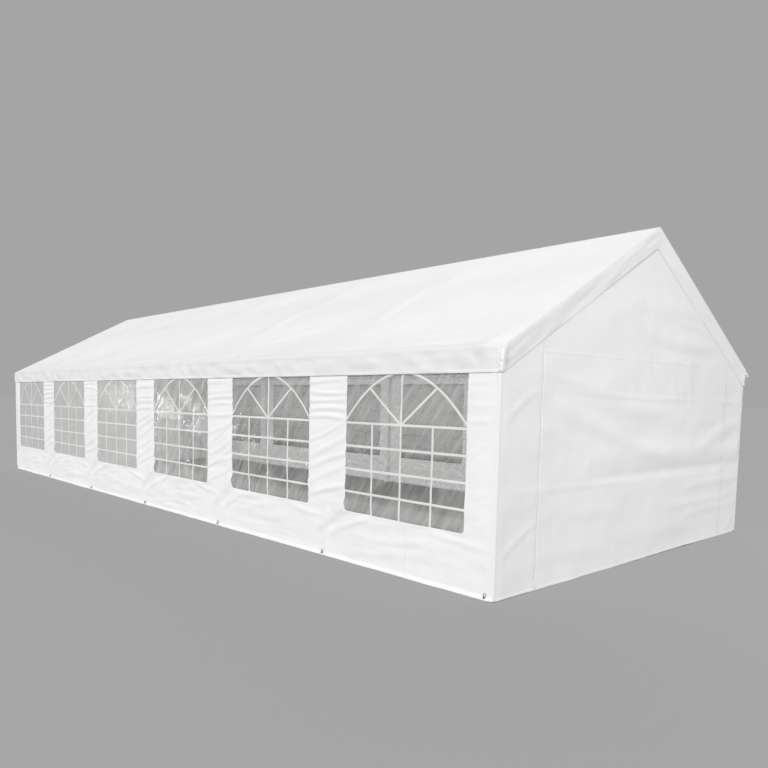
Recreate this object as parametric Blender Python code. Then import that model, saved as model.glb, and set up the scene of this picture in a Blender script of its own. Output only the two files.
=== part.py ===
"""A marquee party tent, 12 m long and 5 m wide, with six arched windows in each long side.

A tube frame of seven trusses on fourteen legs, threaded on rails that run the whole length, carries one
roof cover, two side walls with clear windows and two gable walls with a zipped door panel.

Metres. +X runs along the tent, +Y towards its back and +Z up. The origin is at ground level, in the
middle of the plan.
"""

import math

import bmesh
import bpy
from mathutils import Matrix, Vector

# Driving dimensions of the tent
BAYS = 6
BAY = 2.0
WIDTH = 5.0
EAVE_HEIGHT = 2.0
RIDGE_HEIGHT = 3.3
VALANCE_DROP = 0.20

# Sheet goods. Each sheet is drawn thicker than the real 0.2 mm tarpaulin.
SHEET = 0.004
FILM = 0.002
GAP = 0.0003
HEM_CLEARANCE = 0.005
TOP_CLEARANCE = 0.005

# Windows, the same in every bay
WINDOW_WIDTH = 1.44
WINDOW_SILL = 0.495
WINDOW_HEAD = 1.83
FILM_LAP = 0.03

# The door panel of each gable wall lies between two zips, each this far from its corner
ZIP_INSET = 0.55
DOOR_HEAD = 1.99

# Tubes and the fittings that join them
TUBE_R = 0.019
SLEEVE_R = 0.0225
SOCKET_R = 0.0218
BORE_R = TUBE_R + GAP
SLEEVE_HALF = 0.08
SLEEVE_INWARD = 0.10
SOCKET_LENGTH = 0.14
WEB = 0.030
CAP_STEP = 0.004
TUBE_SIDES = 8

# Foot plates with two peg holes
PLATE = 0.10
PLATE_T = 0.004
PEG_HOLE_R = 0.006
PEG_HOLE_INSET = 0.018
WELD_DEPTH = 0.001

# Places worked out from the dimensions above
HALF_LENGTH = BAYS * BAY / 2
SLOPE = (RIDGE_HEIGHT - EAVE_HEIGHT) / (WIDTH / 2)
SLOPE_ANGLE = math.atan(SLOPE)
WALL_OUT = WIDTH / 2
WALL_IN = WALL_OUT - SHEET
LEG_Y = WALL_IN - GAP - SLEEVE_R
END_IN = HALF_LENGTH + SLEEVE_R + GAP
END_OUT = END_IN + SHEET
RIDGE_UNDERSIDE = RIDGE_HEIGHT - SHEET / math.cos(SLOPE_ANGLE)
RIDGE_AXIS_Z = RIDGE_UNDERSIDE - (GAP + SLEEVE_R) / math.cos(SLOPE_ANGLE)
EAVE_AXIS_Z = RIDGE_AXIS_Z - SLOPE * LEG_Y
PURLIN_Y = LEG_Y / 2
PURLIN_Z = RIDGE_AXIS_Z - SLOPE * PURLIN_Y
GROUND_AXIS_Z = PLATE_T + SLEEVE_R - WELD_DEPTH
LEG_TOP = EAVE_AXIS_Z - WEB - GAP
DOOR_HALF = WIDTH / 2 - ZIP_INSET
RAIL_HALF = HALF_LENGTH + SLEEVE_R - GAP

SIDES = {"front": -1, "back": 1}
ENDS = {"left": -1, "right": 1}


def clear_scene():
    for old in list(bpy.data.objects):
        bpy.data.objects.remove(old)


def make_material(name, colour, roughness, metallic=0.0, alpha=1.0):
    material = bpy.data.materials.new(name)
    material.use_nodes = True
    shader = material.node_tree.nodes["Principled BSDF"]
    shader.inputs["Base Color"].default_value = (*colour, 1.0)
    shader.inputs["Roughness"].default_value = roughness
    shader.inputs["Metallic"].default_value = metallic
    shader.inputs["Alpha"].default_value = alpha
    return material


def place(name, mesh, material, location=(0, 0, 0)):
    """One named piece of the tent, which may share its mesh with its like."""
    piece = bpy.data.objects.new(name, mesh)
    if not mesh.materials:
        mesh.materials.append(material)
    piece.location = location
    bpy.context.scene.collection.objects.link(piece)
    return piece


def mesh_of(shape, name):
    """Turns a bmesh into a mesh with its faces pointing out."""
    bmesh.ops.recalc_face_normals(shape, faces=shape.faces)
    mesh = bpy.data.meshes.new(name)
    shape.to_mesh(mesh)
    shape.free()
    return mesh


def rod(start, end, radius, sides=TUBE_SIDES):
    """A round bar between two points, with a corner of its section level with its axis."""
    start, end = Vector(start), Vector(end)
    along = end - start
    shape = bmesh.new()
    bmesh.ops.create_cone(
        shape, cap_ends=True, segments=sides, radius1=radius, radius2=radius, depth=along.length
    )
    turn = along.to_track_quat("Z", "Y").to_matrix().to_4x4()
    bmesh.ops.transform(shape, matrix=Matrix.Translation((start + end) / 2) @ turn, verts=shape.verts)
    return shape


def block(low, high):
    """A rectangular solid between two corners."""
    low, high = Vector(low), Vector(high)
    shape = bmesh.new()
    bmesh.ops.create_cube(shape, size=1.0)
    size = high - low
    place_it = Matrix.Translation((low + high) / 2) @ Matrix.Diagonal((*size, 1.0))
    bmesh.ops.transform(shape, matrix=place_it, verts=shape.verts)
    return shape


def plate_of(outlines, thickness_along):
    """A flat sheet whose faces are the given outlines, thickened along one vector."""
    shape = bmesh.new()
    corners = {}
    for outline in outlines:
        for point in outline:
            if point not in corners:
                corners[point] = shape.verts.new(point)
        shape.faces.new([corners[point] for point in outline])
    grown = bmesh.ops.extrude_face_region(shape, geom=list(shape.faces))
    moved = [part for part in grown["geom"] if isinstance(part, bmesh.types.BMVert)]
    bmesh.ops.translate(shape, vec=Vector(thickness_along), verts=moved)
    return shape


def carved(name, solids, cutters=()):
    """The solids made one, less the cutters."""
    body = bpy.data.objects.new(name + "_body", mesh_of(solids[0], name + "_body"))
    bpy.context.scene.collection.objects.link(body)
    helpers = [body]
    for word, shapes, operation in (("join", solids[1:], "UNION"), ("cut", cutters, "DIFFERENCE")):
        if not shapes:
            continue
        group = bpy.data.collections.new(f"{name}_{word}")
        group.hide_render = True
        bpy.context.scene.collection.children.link(group)
        for shape in shapes:
            helper = bpy.data.objects.new(f"{name}_{word}", mesh_of(shape, f"{name}_{word}"))
            helper.display_type = "WIRE"
            group.objects.link(helper)
            helpers.append(helper)
        step = body.modifiers.new(word, "BOOLEAN")
        step.operation = operation
        step.solver = "EXACT"
        step.operand_type = "COLLECTION"
        step.collection = group
    bpy.context.view_layer.update()
    graph = bpy.context.evaluated_depsgraph_get()
    mesh = bpy.data.meshes.new_from_object(body.evaluated_get(graph))
    mesh.name = name
    for helper in helpers:
        bpy.data.objects.remove(helper)
    return mesh


def sleeve_span(end):
    """How far a rail's sleeve runs each side of its frame: even on an inner frame, inwards on an end one."""
    if end == 0:
        return -SLEEVE_HALF, SLEEVE_HALF
    if end < 0:
        return -SLEEVE_R, SLEEVE_INWARD
    return -SLEEVE_INWARD, SLEEVE_R


def truss_mesh(name, end):
    """Two rafters with their ridge, purlin, eave and leg fittings, bored for the five rails and two legs."""
    low_x, high_x = sleeve_span(end)
    apex = Vector((0, 0, RIDGE_AXIS_Z))
    solids, bores = [], []
    crossings = [(0, RIDGE_AXIS_Z)]
    for side in SIDES.values():
        eave = Vector((0, side * LEG_Y, EAVE_AXIS_Z))
        middle = Vector((0, side * PURLIN_Y, PURLIN_Z))
        down = (eave - apex).normalized()
        solids.append(rod(apex, eave, TUBE_R))
        solids.append(rod(apex - CAP_STEP * down, apex + SOCKET_LENGTH * down, SOCKET_R))
        solids.append(rod(middle - SLEEVE_HALF * down, middle + SLEEVE_HALF * down, SOCKET_R))
        solids.append(rod(eave - SOCKET_LENGTH * down, eave + CAP_STEP * down, SOCKET_R))
        solids.append(rod(eave + Vector((0, 0, CAP_STEP)), eave - Vector((0, 0, SOCKET_LENGTH)), SOCKET_R))
        below = eave - Vector((0, 0, SOCKET_LENGTH + WEB))
        bores.append(rod(below, eave - Vector((0, 0, WEB)), BORE_R))
        crossings += [(middle.y, middle.z), (eave.y, eave.z)]
    for y, z in crossings:
        solids.append(rod((low_x, y, z), (high_x, y, z), SLEEVE_R))
        bores.append(rod((low_x - SLEEVE_R, y, z), (high_x + SLEEVE_R, y, z), BORE_R))
    return carved(name, solids, bores)


def leg_mesh(name, side, end):
    """A leg on its foot plate, with a sleeve for the ground rail, drawn with its axis at x = y = 0."""
    low_x, high_x = sleeve_span(end)
    outer_y = side * SLEEVE_R
    inner_y = outer_y - side * PLATE
    plate_x = {0: (-PLATE / 2, PLATE / 2), -1: (-SLEEVE_R, PLATE - SLEEVE_R), 1: (SLEEVE_R - PLATE, SLEEVE_R)}[end]
    base = (0, 0, GROUND_AXIS_Z)
    solids = [
        rod(base, (0, 0, LEG_TOP), TUBE_R),
        rod(base, (0, 0, SOCKET_LENGTH), SOCKET_R),
        rod((low_x, 0, GROUND_AXIS_Z), (high_x, 0, GROUND_AXIS_Z), SLEEVE_R),
        block((plate_x[0], min(inner_y, outer_y), 0), (plate_x[1], max(inner_y, outer_y), PLATE_T)),
    ]
    cutters = [rod((low_x - SLEEVE_R, 0, GROUND_AXIS_Z), (high_x + SLEEVE_R, 0, GROUND_AXIS_Z), BORE_R)]
    hole_y = inner_y + side * PEG_HOLE_INSET
    for hole_x in (plate_x[0] + PEG_HOLE_INSET, plate_x[1] - PEG_HOLE_INSET):
        cutters.append(rod((hole_x, hole_y, -PLATE_T), (hole_x, hole_y, 2 * PLATE_T), PEG_HOLE_R))
    return carved(name, solids, cutters)


def build_trusses(steel):
    meshes = {end: truss_mesh(f"truss_mesh_{end}", end) for end in (-1, 0, 1)}
    for index in range(BAYS + 1):
        end = -1 if index == 0 else 1 if index == BAYS else 0
        place(f"roof_truss_{index + 1}", meshes[end], steel, (index * BAY - HALF_LENGTH, 0, 0))


def build_legs(steel):
    for word, side in SIDES.items():
        meshes = {end: leg_mesh(f"leg_mesh_{word}_{end}", side, end) for end in (-1, 0, 1)}
        for index in range(BAYS + 1):
            end = -1 if index == 0 else 1 if index == BAYS else 0
            place(f"leg_{word}_{index + 1}", meshes[end], steel, (index * BAY - HALF_LENGTH, side * LEG_Y, 0))


def build_rails(steel):
    lines = {"ridge_rail": (0, RIDGE_AXIS_Z)}
    for word, side in SIDES.items():
        lines[f"purlin_{word}"] = (side * PURLIN_Y, PURLIN_Z)
        lines[f"eave_rail_{word}"] = (side * LEG_Y, EAVE_AXIS_Z)
        lines[f"ground_rail_{word}"] = (side * LEG_Y, GROUND_AXIS_Z)
    for name, (y, z) in lines.items():
        shape = rod((-RAIL_HALF, y, z), (RAIL_HALF, y, z), TUBE_R)
        place(name, mesh_of(shape, name), steel)


def build_roof_cover(sheet):
    """One sheet over both slopes, with a valance that hangs down from the eaves and along the gables."""
    out_y = WALL_OUT + GAP + SHEET
    in_y = WALL_OUT + GAP
    out_x = END_OUT + GAP + SHEET
    in_x = END_OUT + GAP
    eave_z = RIDGE_HEIGHT - SLOPE * out_y
    outline = [
        (-out_x, -out_y, eave_z - VALANCE_DROP),
        (-out_x, -out_y, eave_z),
        (-out_x, 0, RIDGE_HEIGHT),
        (-out_x, out_y, eave_z),
        (-out_x, out_y, eave_z - VALANCE_DROP),
        (-out_x, 0, RIDGE_HEIGHT - VALANCE_DROP),
    ]
    inner_eave_z = RIDGE_UNDERSIDE - SLOPE * in_y
    hollow = [
        (-in_x, -in_y, 0),
        (-in_x, -in_y, inner_eave_z),
        (-in_x, 0, RIDGE_UNDERSIDE),
        (-in_x, in_y, inner_eave_z),
        (-in_x, in_y, 0),
    ]
    whole = plate_of([outline], (2 * out_x, 0, 0))
    inside = plate_of([hollow], (2 * in_x, 0, 0))
    place("roof_cover", carved("roof_cover", [whole], [inside]), sheet)


def build_side_walls(sheet, film):
    """A long wall each side, open at its six windows, with a clear film lapped behind each opening."""
    wall_top = RIDGE_UNDERSIDE - SLOPE * WALL_OUT - TOP_CLEARANCE
    centres = [(index + 0.5) * BAY - HALF_LENGTH for index in range(BAYS)]
    jambs = [centre + step for centre in centres for step in (-WINDOW_WIDTH / 2, WINDOW_WIDTH / 2)]
    xs = [-END_OUT, *jambs, END_OUT]
    zs = [HEM_CLEARANCE, WINDOW_SILL, WINDOW_HEAD, wall_top]
    for word, side in SIDES.items():
        cells = []
        for column, (x0, x1) in enumerate(zip(xs, xs[1:])):
            for row, (z0, z1) in enumerate(zip(zs, zs[1:])):
                is_window = column % 2 == 1 and row == 1
                if not is_window:
                    y = side * WALL_OUT
                    cells.append([(x0, y, z0), (x1, y, z0), (x1, y, z1), (x0, y, z1)])
        shape = plate_of(cells, (0, -side * SHEET, 0))
        place(f"side_wall_{word}", mesh_of(shape, f"side_wall_{word}"), sheet)
        outer = side * (WALL_IN - GAP)
        inner = outer - side * FILM
        half = WINDOW_WIDTH / 2 + FILM_LAP
        for index, centre in enumerate(centres):
            low = (centre - half, min(outer, inner), WINDOW_SILL - FILM_LAP)
            high = (centre + half, max(outer, inner), WINDOW_HEAD + FILM_LAP)
            name = f"window_{word}_{index + 1}"
            place(name, mesh_of(block(low, high), name), film)


def build_gable_walls(sheet):
    """A gable wall at each end, cut out for its door panel, which fills the cut between the two zips."""
    half = WALL_IN - GAP
    top_of = RIDGE_UNDERSIDE - TOP_CLEARANCE
    for word, end in ENDS.items():
        x = end * END_IN
        thick = (end * SHEET, 0, 0)
        outline = [
            (x, -half, HEM_CLEARANCE),
            (x, -DOOR_HALF, HEM_CLEARANCE),
            (x, -DOOR_HALF, DOOR_HEAD),
            (x, DOOR_HALF, DOOR_HEAD),
            (x, DOOR_HALF, HEM_CLEARANCE),
            (x, half, HEM_CLEARANCE),
            (x, half, top_of - SLOPE * half),
            (x, 0, top_of),
            (x, -half, top_of - SLOPE * half),
        ]
        wall = plate_of([outline], thick)
        place(f"gable_wall_{word}", mesh_of(wall, f"gable_wall_{word}"), sheet)
        low = (x, GAP - DOOR_HALF, HEM_CLEARANCE)
        high = (x + end * SHEET, DOOR_HALF - GAP, DOOR_HEAD - GAP)
        panel = block([min(a, b) for a, b in zip(low, high)], [max(a, b) for a, b in zip(low, high)])
        place(f"door_panel_{word}", mesh_of(panel, f"door_panel_{word}"), sheet)


def main():
    clear_scene()
    sheet = make_material("white_sheet", (0.88, 0.88, 0.87), 0.5)
    film = make_material("clear_film", (0.72, 0.74, 0.74), 0.12, alpha=0.35)
    steel = make_material("coated_steel", (0.80, 0.81, 0.81), 0.35)
    build_trusses(steel)
    build_legs(steel)
    build_rails(steel)
    build_roof_cover(sheet)
    build_side_walls(sheet, film)
    build_gable_walls(sheet)


main()
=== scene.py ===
"""A white marquee party tent with arched windows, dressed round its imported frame.

Metres. +X runs along the ridge, -Y is the long side that the camera sees and +Z is up. Every sheet is a
grid over flat coordinates u and v, carried onto its place on the tent, and a relief says how far each of
its points stands out from that place. Seams, hems, zips and glazing bars are bands laid on the same
reliefs, so they follow every fold. A fold is given as its start and end in flat coordinates, its width,
its height and its bend.
"""

import functools
import math

import bmesh
import bpy
import numpy as np
from mathutils import Matrix, Vector


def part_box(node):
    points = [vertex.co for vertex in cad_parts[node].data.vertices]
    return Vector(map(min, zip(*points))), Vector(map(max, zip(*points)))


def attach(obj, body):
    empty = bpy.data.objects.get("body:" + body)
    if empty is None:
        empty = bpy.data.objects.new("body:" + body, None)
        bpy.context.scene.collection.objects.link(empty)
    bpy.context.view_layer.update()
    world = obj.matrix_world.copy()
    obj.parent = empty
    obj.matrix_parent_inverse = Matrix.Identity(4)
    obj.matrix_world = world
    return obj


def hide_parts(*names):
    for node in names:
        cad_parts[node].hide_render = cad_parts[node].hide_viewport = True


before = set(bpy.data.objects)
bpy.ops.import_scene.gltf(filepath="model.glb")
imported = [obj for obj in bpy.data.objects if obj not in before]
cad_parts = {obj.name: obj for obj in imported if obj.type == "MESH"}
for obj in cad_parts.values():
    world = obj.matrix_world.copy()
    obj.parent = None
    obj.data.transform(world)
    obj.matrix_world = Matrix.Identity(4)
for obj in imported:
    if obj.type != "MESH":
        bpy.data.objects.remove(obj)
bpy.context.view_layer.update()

# Sizes taken from the frame
roof_low, roof_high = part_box("roof_cover")
wall_low, wall_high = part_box("side_wall_front")
film_low, film_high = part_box("window_front_1")
rail_low, rail_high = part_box("eave_rail_front")
ground_low, ground_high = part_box("ground_rail_front")
gable_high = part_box("gable_wall_right")[1]
door_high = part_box("door_panel_right")[1]
BAYS = 6
BAY = sum(corner.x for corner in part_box("leg_front_5")) / 2
HALF_LENGTH = BAYS * BAY / 2
LEG_XS = [index * BAY - HALF_LENGTH for index in range(BAYS + 1)]
BAY_CENTRES = [(index + 0.5) * BAY - HALF_LENGTH for index in range(BAYS)]
LEG_Y = -(rail_low.y + rail_high.y) / 2
EAVE_AXIS_Z = (rail_low.z + rail_high.z) / 2
TUBE_R = (rail_high.z - rail_low.z) / 2
GROUND_AXIS_Z = (ground_low.z + ground_high.z) / 2
ROOF_END, EAVE_Y, RIDGE_Z = roof_high
HEM_Z = roof_low.z
WALL_Y = -wall_low.y
WALL_END = wall_high.x
WALL_TOP = wall_high.z
GABLE_X = gable_high.x
GABLE_HALF = gable_high.y
DOOR_HALF = door_high.y
DOOR_TOP = door_high.z

# The roof's slope, from the ridge down to the eaves, and the radius of its folds over the rails
RIDGE_AXIS_Z = sum(corner.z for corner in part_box("ridge_rail")) / 2
SLOPE = (RIDGE_AXIS_Z - EAVE_AXIS_Z) / LEG_Y
SLOPE_ANGLE = math.atan(SLOPE)
FOLD_R = 0.0262
FOLD_STEPS = 6

SIDES = {"front": -1, "back": 1}
ENDS = {"left": -1, "right": 1}

# Tarpaulin and clear film, and how far off the ground the walls are cut
SHEET_T = 0.0012
FILM_T = 0.0006
GROUND_GAP = 0.003
DOOR_GAP = 0.001

# The cover past the gable: how far it stands out, how tightly it turns down, and how far its hem tucks in
RAKE_OVERHANG = 0.012
RAKE_R = 0.008
ROOF_FLAT_END = ROOF_END + RAKE_OVERHANG - RAKE_R
ROOF_EDGE_U = ROOF_FLAT_END + RAKE_R * math.pi / 2
FLAP_RISE = FOLD_R - RAKE_R
FLAP_TUCK = 0.0022

# The walls where they turn round the tent's corners, and flare out over the ground
GROUND_FLARE = 0.016
CORNER_R = 0.010
CORNER_TURNS = (0, 15, 30, 44, 56, 66, 76)
WRAP_CLEARANCE = 0.0022

# Windows: the clear opening, and the pattern of white bars welded to the film
FILM_LAP = 0.03
WINDOW_HALF = (film_high.x - film_low.x) / 2 - FILM_LAP
SILL_Z = film_low.z + FILM_LAP
HEAD_Z = film_high.z - FILM_LAP
FILM_MARGIN = 0.02
BAR_ROWS = (0.69, 0.91, 1.13, 1.35)
ARCH_SPRING_Z = 1.375
ARCH_CROWN_Z = 1.812
ARCH_STEPS = 49
RAY_REACH = 0.40
BAR_WIDTH = 0.022
BAR_T = 0.0007
BAR_LIFT = 0.0002
ROW_LIFT, RAY_LIFT, ARCH_LIFT = 0.00025, 0.0004, 0.0006

# Hems, seams and zips: their widths, and how thick each stands on its sheet
SEWN_ON = 0.0001
HEM_WIDTH = 0.026
HEM_T = 0.0011
GROUND_HEM_T = 0.0032
FLAP_HEM_T = 0.0005
WALL_END_HEM_T = 0.0006
GABLE_END_HEM_T = 0.0007
HEM_END_GAP = 0.002
HEM_CORNER_GAP = 0.004
GABLE_HEM_TOP_Z = HEM_Z + 0.14
SEAM_X = 5.10
SEAM_TOP_Z = SILL_Z - 0.03
SEAM_WIDTH = 0.034
SEAM_T = 0.0007
DOOR_BAND_T = 0.0005
BORDER_WIDTH = 0.026
BORDER_T = 0.0006
BORDER_OUT = 0.011
BORDER_R = 0.045
ROOF_HEM_STEP = 0.042
BAND_SECTION = ((-1.0, 0.0), (-0.94, 0.8), (-0.5, 1.0), (0.5, 1.0), (0.94, 0.8), (1.0, 0.0))

# The steel: fittings round the tubes, foot plates with two peg holes, and hexagon bolts
SLEEVE_R = TUBE_R + 0.0035
SOCKET_R = TUBE_R + 0.0028
SLEEVE_HALF = 0.08
END_SLEEVE = 0.10
SOCKET_LENGTH = 0.14
SOCKET_BOLT = 0.105
SLEEVE_BOLT = 0.055
LEG_TOP_Z = EAVE_AXIS_Z - 0.0303
PLATE = 0.10
PLATE_T = 0.004
PLATE_CROP = 0.010
PEG_HOLE_R = 0.006
PEG_HOLE_INSET = 0.018
WASHER_R, WASHER_T = 0.0085, 0.0014
BOLT_SUNK = 0.0006
BOLT_HEAD = ((0.0014, 0.0068), (0.0058, 0.0068), (0.0066, 0.0058))
TUBE_SIDES = 20

# Colours, each from its darker to its lighter shade
TARPAULIN = ((0.83, 0.835, 0.83), (0.87, 0.875, 0.87))
# The next grey is painted shade, laid into the tarpaulin and vinyl along the roof's folds, over the eave
# valances and down the tent's upright corners to dim their highlights.
PAINTED_SHADE = (0.72, 0.722, 0.712)
VINYL = ((0.84, 0.845, 0.84), (0.88, 0.885, 0.88))
BAR_VINYL = ((0.70, 0.695, 0.68), (0.80, 0.795, 0.78))
FILM_OUTSIDE = ((0.52, 0.515, 0.505), (0.68, 0.676, 0.665))
# The film's inner face is painted dark, a painted shade that dims the windows seen from inside the tent.
FILM_INSIDE_SHADE = ((0.23, 0.23, 0.225), (0.012, 0.012, 0.012))
COATED_STEEL = ((0.70, 0.71, 0.71), (0.78, 0.79, 0.79))
RUBBER = ((0.09, 0.09, 0.09), (0.17, 0.165, 0.16))
NYLON = ((0.77, 0.78, 0.78), (0.83, 0.84, 0.84))

# The studio: what the camera sees behind the tent, the even light in the room, and the floor's paint
BACKDROP = 0.376
ROOM_FILL = 0.36
FLOOR_SHADE = 0.12
FLOOR_GLOW = 0.270
FLOOR_REACH = 400.0
FLOOR_Z = -0.0005

# The camera that took the photograph, in a 768 px frame
PHOTO_PX = 768
FOCAL_PX = 689.5
VIEW_CENTRE_PX = (322.3, 452.3)
CAMERA_AT = (9.184, -6.962, 1.587)
CAMERA_AZIMUTH = math.radians(49.68)
CAMERA_TILT = math.radians(-4.57)
CAMERA_ROLL = math.radians(0.87)


# Random relief

LATTICE = 256
BACK_SHIFT = 40.0
POINTS_AT_ONCE = 4096


@functools.lru_cache(maxsize=None)
def lattice_heights(seed):
    return np.random.RandomState(seed).uniform(-1, 1, (LATTICE, LATTICE))


def lattice_noise(u, v, seed):
    """Smooth random heights from -1 to 1 that change over one unit of u and v."""
    heights = lattice_heights(seed)
    column, row = np.floor(u).astype(int), np.floor(v).astype(int)
    across, up = (part * part * part * (part * (6 * part - 15) + 10) for part in (u - column, v - row))

    def level(index):
        left = heights[index % LATTICE, column % LATTICE]
        right = heights[index % LATTICE, (column + 1) % LATTICE]
        return left * (1 - across) + right * across

    return level(row) * (1 - up) + level(row + 1) * up


def rumple(u, v, size, seed, layers=3):
    """Noise whose largest lumps are of that size in metres, with finer layers at half the size each."""
    total = np.zeros_like(u)
    for layer in range(layers):
        step = 2 ** layer
        lumps = lattice_noise(u / size[0] * step + 7.3 * layer, v / size[1] * step, seed + layer)
        total += lumps / step ** 1.2
    return total


def creased(u, v, size, seed):
    """Noise with sharp crests, as sheeting has where it was folded in its bag."""
    return 1 - 2 * np.abs(lattice_noise(u / size[0], v / size[1], seed))


def ramp(x, low, high):
    """0 below low, 1 above high and smooth between. It falls where low is above high."""
    t = np.clip((x - low) / (high - low), 0, 1)
    return t * t * (3 - 2 * t)


def near(x, centre, width):
    return np.exp(-((x - centre) / width) ** 2)


def folded(u, v, folds):
    """The height of many folds together. Each is a soft ridge that tapers at both ends and may be bowed."""
    table = np.array([(*start, *end, *sizes) for start, end, *sizes in folds])
    u0, v0, u1, v1, width, height, bend = table.T[:, :, None]
    length = np.hypot(u1 - u0, v1 - v0)
    along_u, along_v = (u1 - u0) / length, (v1 - v0) / length
    flat_u, flat_v = np.ravel(u), np.ravel(v)
    total = np.empty(flat_u.size)
    for first in range(0, flat_u.size, POINTS_AT_ONCE):
        some = slice(first, first + POINTS_AT_ONCE)
        step_u = flat_u[None, some] - u0
        step_v = flat_v[None, some] - v0
        t = (step_u * along_u + step_v * along_v) / length
        arch = np.clip(4 * t * (1 - t), 0, 1)
        side = step_v * along_u - step_u * along_v - bend * arch
        shape = np.exp(-(side / width) ** 2) - 0.45 * np.exp(-(side / (2.2 * width)) ** 2)
        total[some] = (height * np.sqrt(arch) * shape).sum(axis=0)
    return total.reshape(np.shape(u))


# Making meshes

def link(name, mesh, material):
    piece = bpy.data.objects.new(name, mesh)
    bpy.context.scene.collection.objects.link(piece)
    mesh.materials.append(material)
    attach(piece, "root")
    return piece


def mesh_from(name, points, faces, flat):
    """A smooth mesh of the points and faces, less the points that no face uses. flat holds u and v."""
    faces = [np.asarray(group, dtype=np.int64) for group in faces if len(group)]
    used = np.unique(np.concatenate([group.ravel() for group in faces]))
    renumber = np.zeros(len(points), dtype=np.int64)
    renumber[used] = np.arange(len(used))
    faces = [renumber[group] for group in faces]
    mesh = bpy.data.meshes.new(name)
    mesh.from_pydata(points[used].tolist(), [], [face for group in faces for face in group.tolist()])
    corners = np.concatenate([group.ravel() for group in faces])
    layer = mesh.uv_layers.new(name="flat")
    layer.data.foreach_set("uv", flat[used][corners].astype(np.float32).ravel())
    mesh.shade_smooth()
    mesh.update()
    return mesh


def grid_faces(rows, columns, first=0):
    index = first + np.arange(rows * columns).reshape(rows, columns)
    return np.stack([index[:-1, :-1], index[:-1, 1:], index[1:, 1:], index[1:, :-1]], axis=-1).reshape(-1, 4)


def mesh_of_grids(name, grids):
    """One mesh of several grids, each given as its places, flat u and v, and whether it is turned over."""
    points, flats, faces = [], [], []
    first = 0
    for places, u, v, turned_over in grids:
        points.append(places.reshape(-1, 3))
        flats.append(np.stack([u.ravel(), v.ravel()], axis=1))
        quads = grid_faces(*u.shape, first)
        faces.append(quads[:, ::-1] if turned_over else quads)
        first += u.size
    return mesh_from(name, np.concatenate(points), faces, np.concatenate(flats))


def spread(marks, step):
    """Values through all the marks, in order, at about one step apart."""
    values = [marks[0]]
    for low, high in zip(marks, marks[1:]):
        count = max(1, round(abs(high - low) / step))
        values.extend(low + (high - low) * (index + 1) / count for index in range(count))
    return np.array(values)


def thicken(piece, thickness):
    shell = piece.modifiers.new("thickness", "SOLIDIFY")
    shell.thickness = thickness
    shell.offset = -1.0


def sheet_grid(name, us, vs, surface, material, thickness=SHEET_T, open_at=None, cuts=()):
    """A sheet over the grid of us by vs, left open where open_at(u, v) is true at a cell's middle.

    Each cut is a point and a direction. The sheet is trimmed off beyond the point in that direction.
    """
    u, v = np.meshgrid(us, vs)
    flat = np.stack([u.ravel(), v.ravel()], axis=1)
    faces = grid_faces(len(vs), len(us))
    if open_at is not None:
        middles = flat[faces].mean(axis=1)
        faces = faces[~open_at(middles[:, 0], middles[:, 1])]
    mesh = mesh_from(name, surface(u, v).reshape(-1, 3), [faces], flat)
    for point, direction in cuts:
        trim(mesh, point, direction)
    piece = link(name, mesh, material)
    thicken(piece, thickness)
    return piece


def trim(mesh, point, direction):
    shape = bmesh.new()
    shape.from_mesh(mesh)
    parts = [*shape.verts, *shape.edges, *shape.faces]
    bmesh.ops.bisect_plane(shape, geom=parts, dist=1e-6, plane_co=point, plane_no=direction, clear_outer=True)
    shape.to_mesh(mesh)
    shape.free()


def weld(mesh, within=2e-5):
    shape = bmesh.new()
    shape.from_mesh(mesh)
    bmesh.ops.remove_doubles(shape, verts=shape.verts, dist=within)
    bmesh.ops.dissolve_degenerate(shape, edges=shape.edges, dist=within)
    shape.to_mesh(mesh)
    shape.free()


def line(start, end, step=0.02):
    start, end = np.array(start, float), np.array(end, float)
    count = max(2, int(math.ceil(np.linalg.norm(end - start) / step)) + 1)
    return start + np.linspace(0, 1, count)[:, None] * (end - start)


def band_along(path, surface, width, thickness, lift=SEWN_ON, closed=False):
    """Points, faces, caps and flat coordinates of a band laid along a path of (u, v) points on a surface."""
    path = np.asarray(path, float)
    if closed:
        ahead, behind = np.roll(path, -1, axis=0), np.roll(path, 1, axis=0)
    else:
        ahead = np.vstack([path[1:], path[-1:]])
        behind = np.vstack([path[:1], path[:-1]])
    along = ahead - behind
    along /= np.linalg.norm(along, axis=1, keepdims=True)
    across = np.stack([-along[:, 1], along[:, 0]], axis=1) * width / 2
    flats = [path + reach * across for reach, _ in BAND_SECTION]
    rings = [surface(flat[:, 0], flat[:, 1], lift + rise * thickness)
             for flat, (_, rise) in zip(flats, BAND_SECTION)]
    index = np.arange(len(path) * len(BAND_SECTION)).reshape(len(path), len(BAND_SECTION))
    if closed:
        index = np.vstack([index, index[:1]])
    turned = np.roll(index, -1, axis=1)
    faces = np.stack([index[:-1], index[1:], turned[1:], turned[:-1]], axis=-1).reshape(-1, 4)
    caps = [] if closed else [index[0][::-1].tolist(), index[-1].tolist()]
    return np.stack(rings, axis=1).reshape(-1, 3), faces, caps, np.stack(flats, axis=1).reshape(-1, 2)


def band(start, end, surface, width, thickness, lift=SEWN_ON, step=0.02):
    return band_along(line(start, end, step), surface, width, thickness, lift)


def bands_piece(name, bands, material):
    """One piece made of many bands."""
    points, quads, caps, flats = [], [], [], []
    first = 0
    for band_points, band_faces, band_caps, band_flat in bands:
        points.append(band_points)
        flats.append(band_flat)
        quads.append(band_faces + first)
        caps.extend([corner + first for corner in cap] for cap in band_caps)
        first += len(band_points)
    faces = [np.concatenate(quads), np.array(caps)]
    mesh = mesh_from(name, np.concatenate(points), faces, np.concatenate(flats))
    mesh.set_sharp_from_angle(angle=math.radians(50))
    return link(name, mesh, material)


# The roof cover. v runs round its section, from the front hem over the ridge to the back hem.

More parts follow.
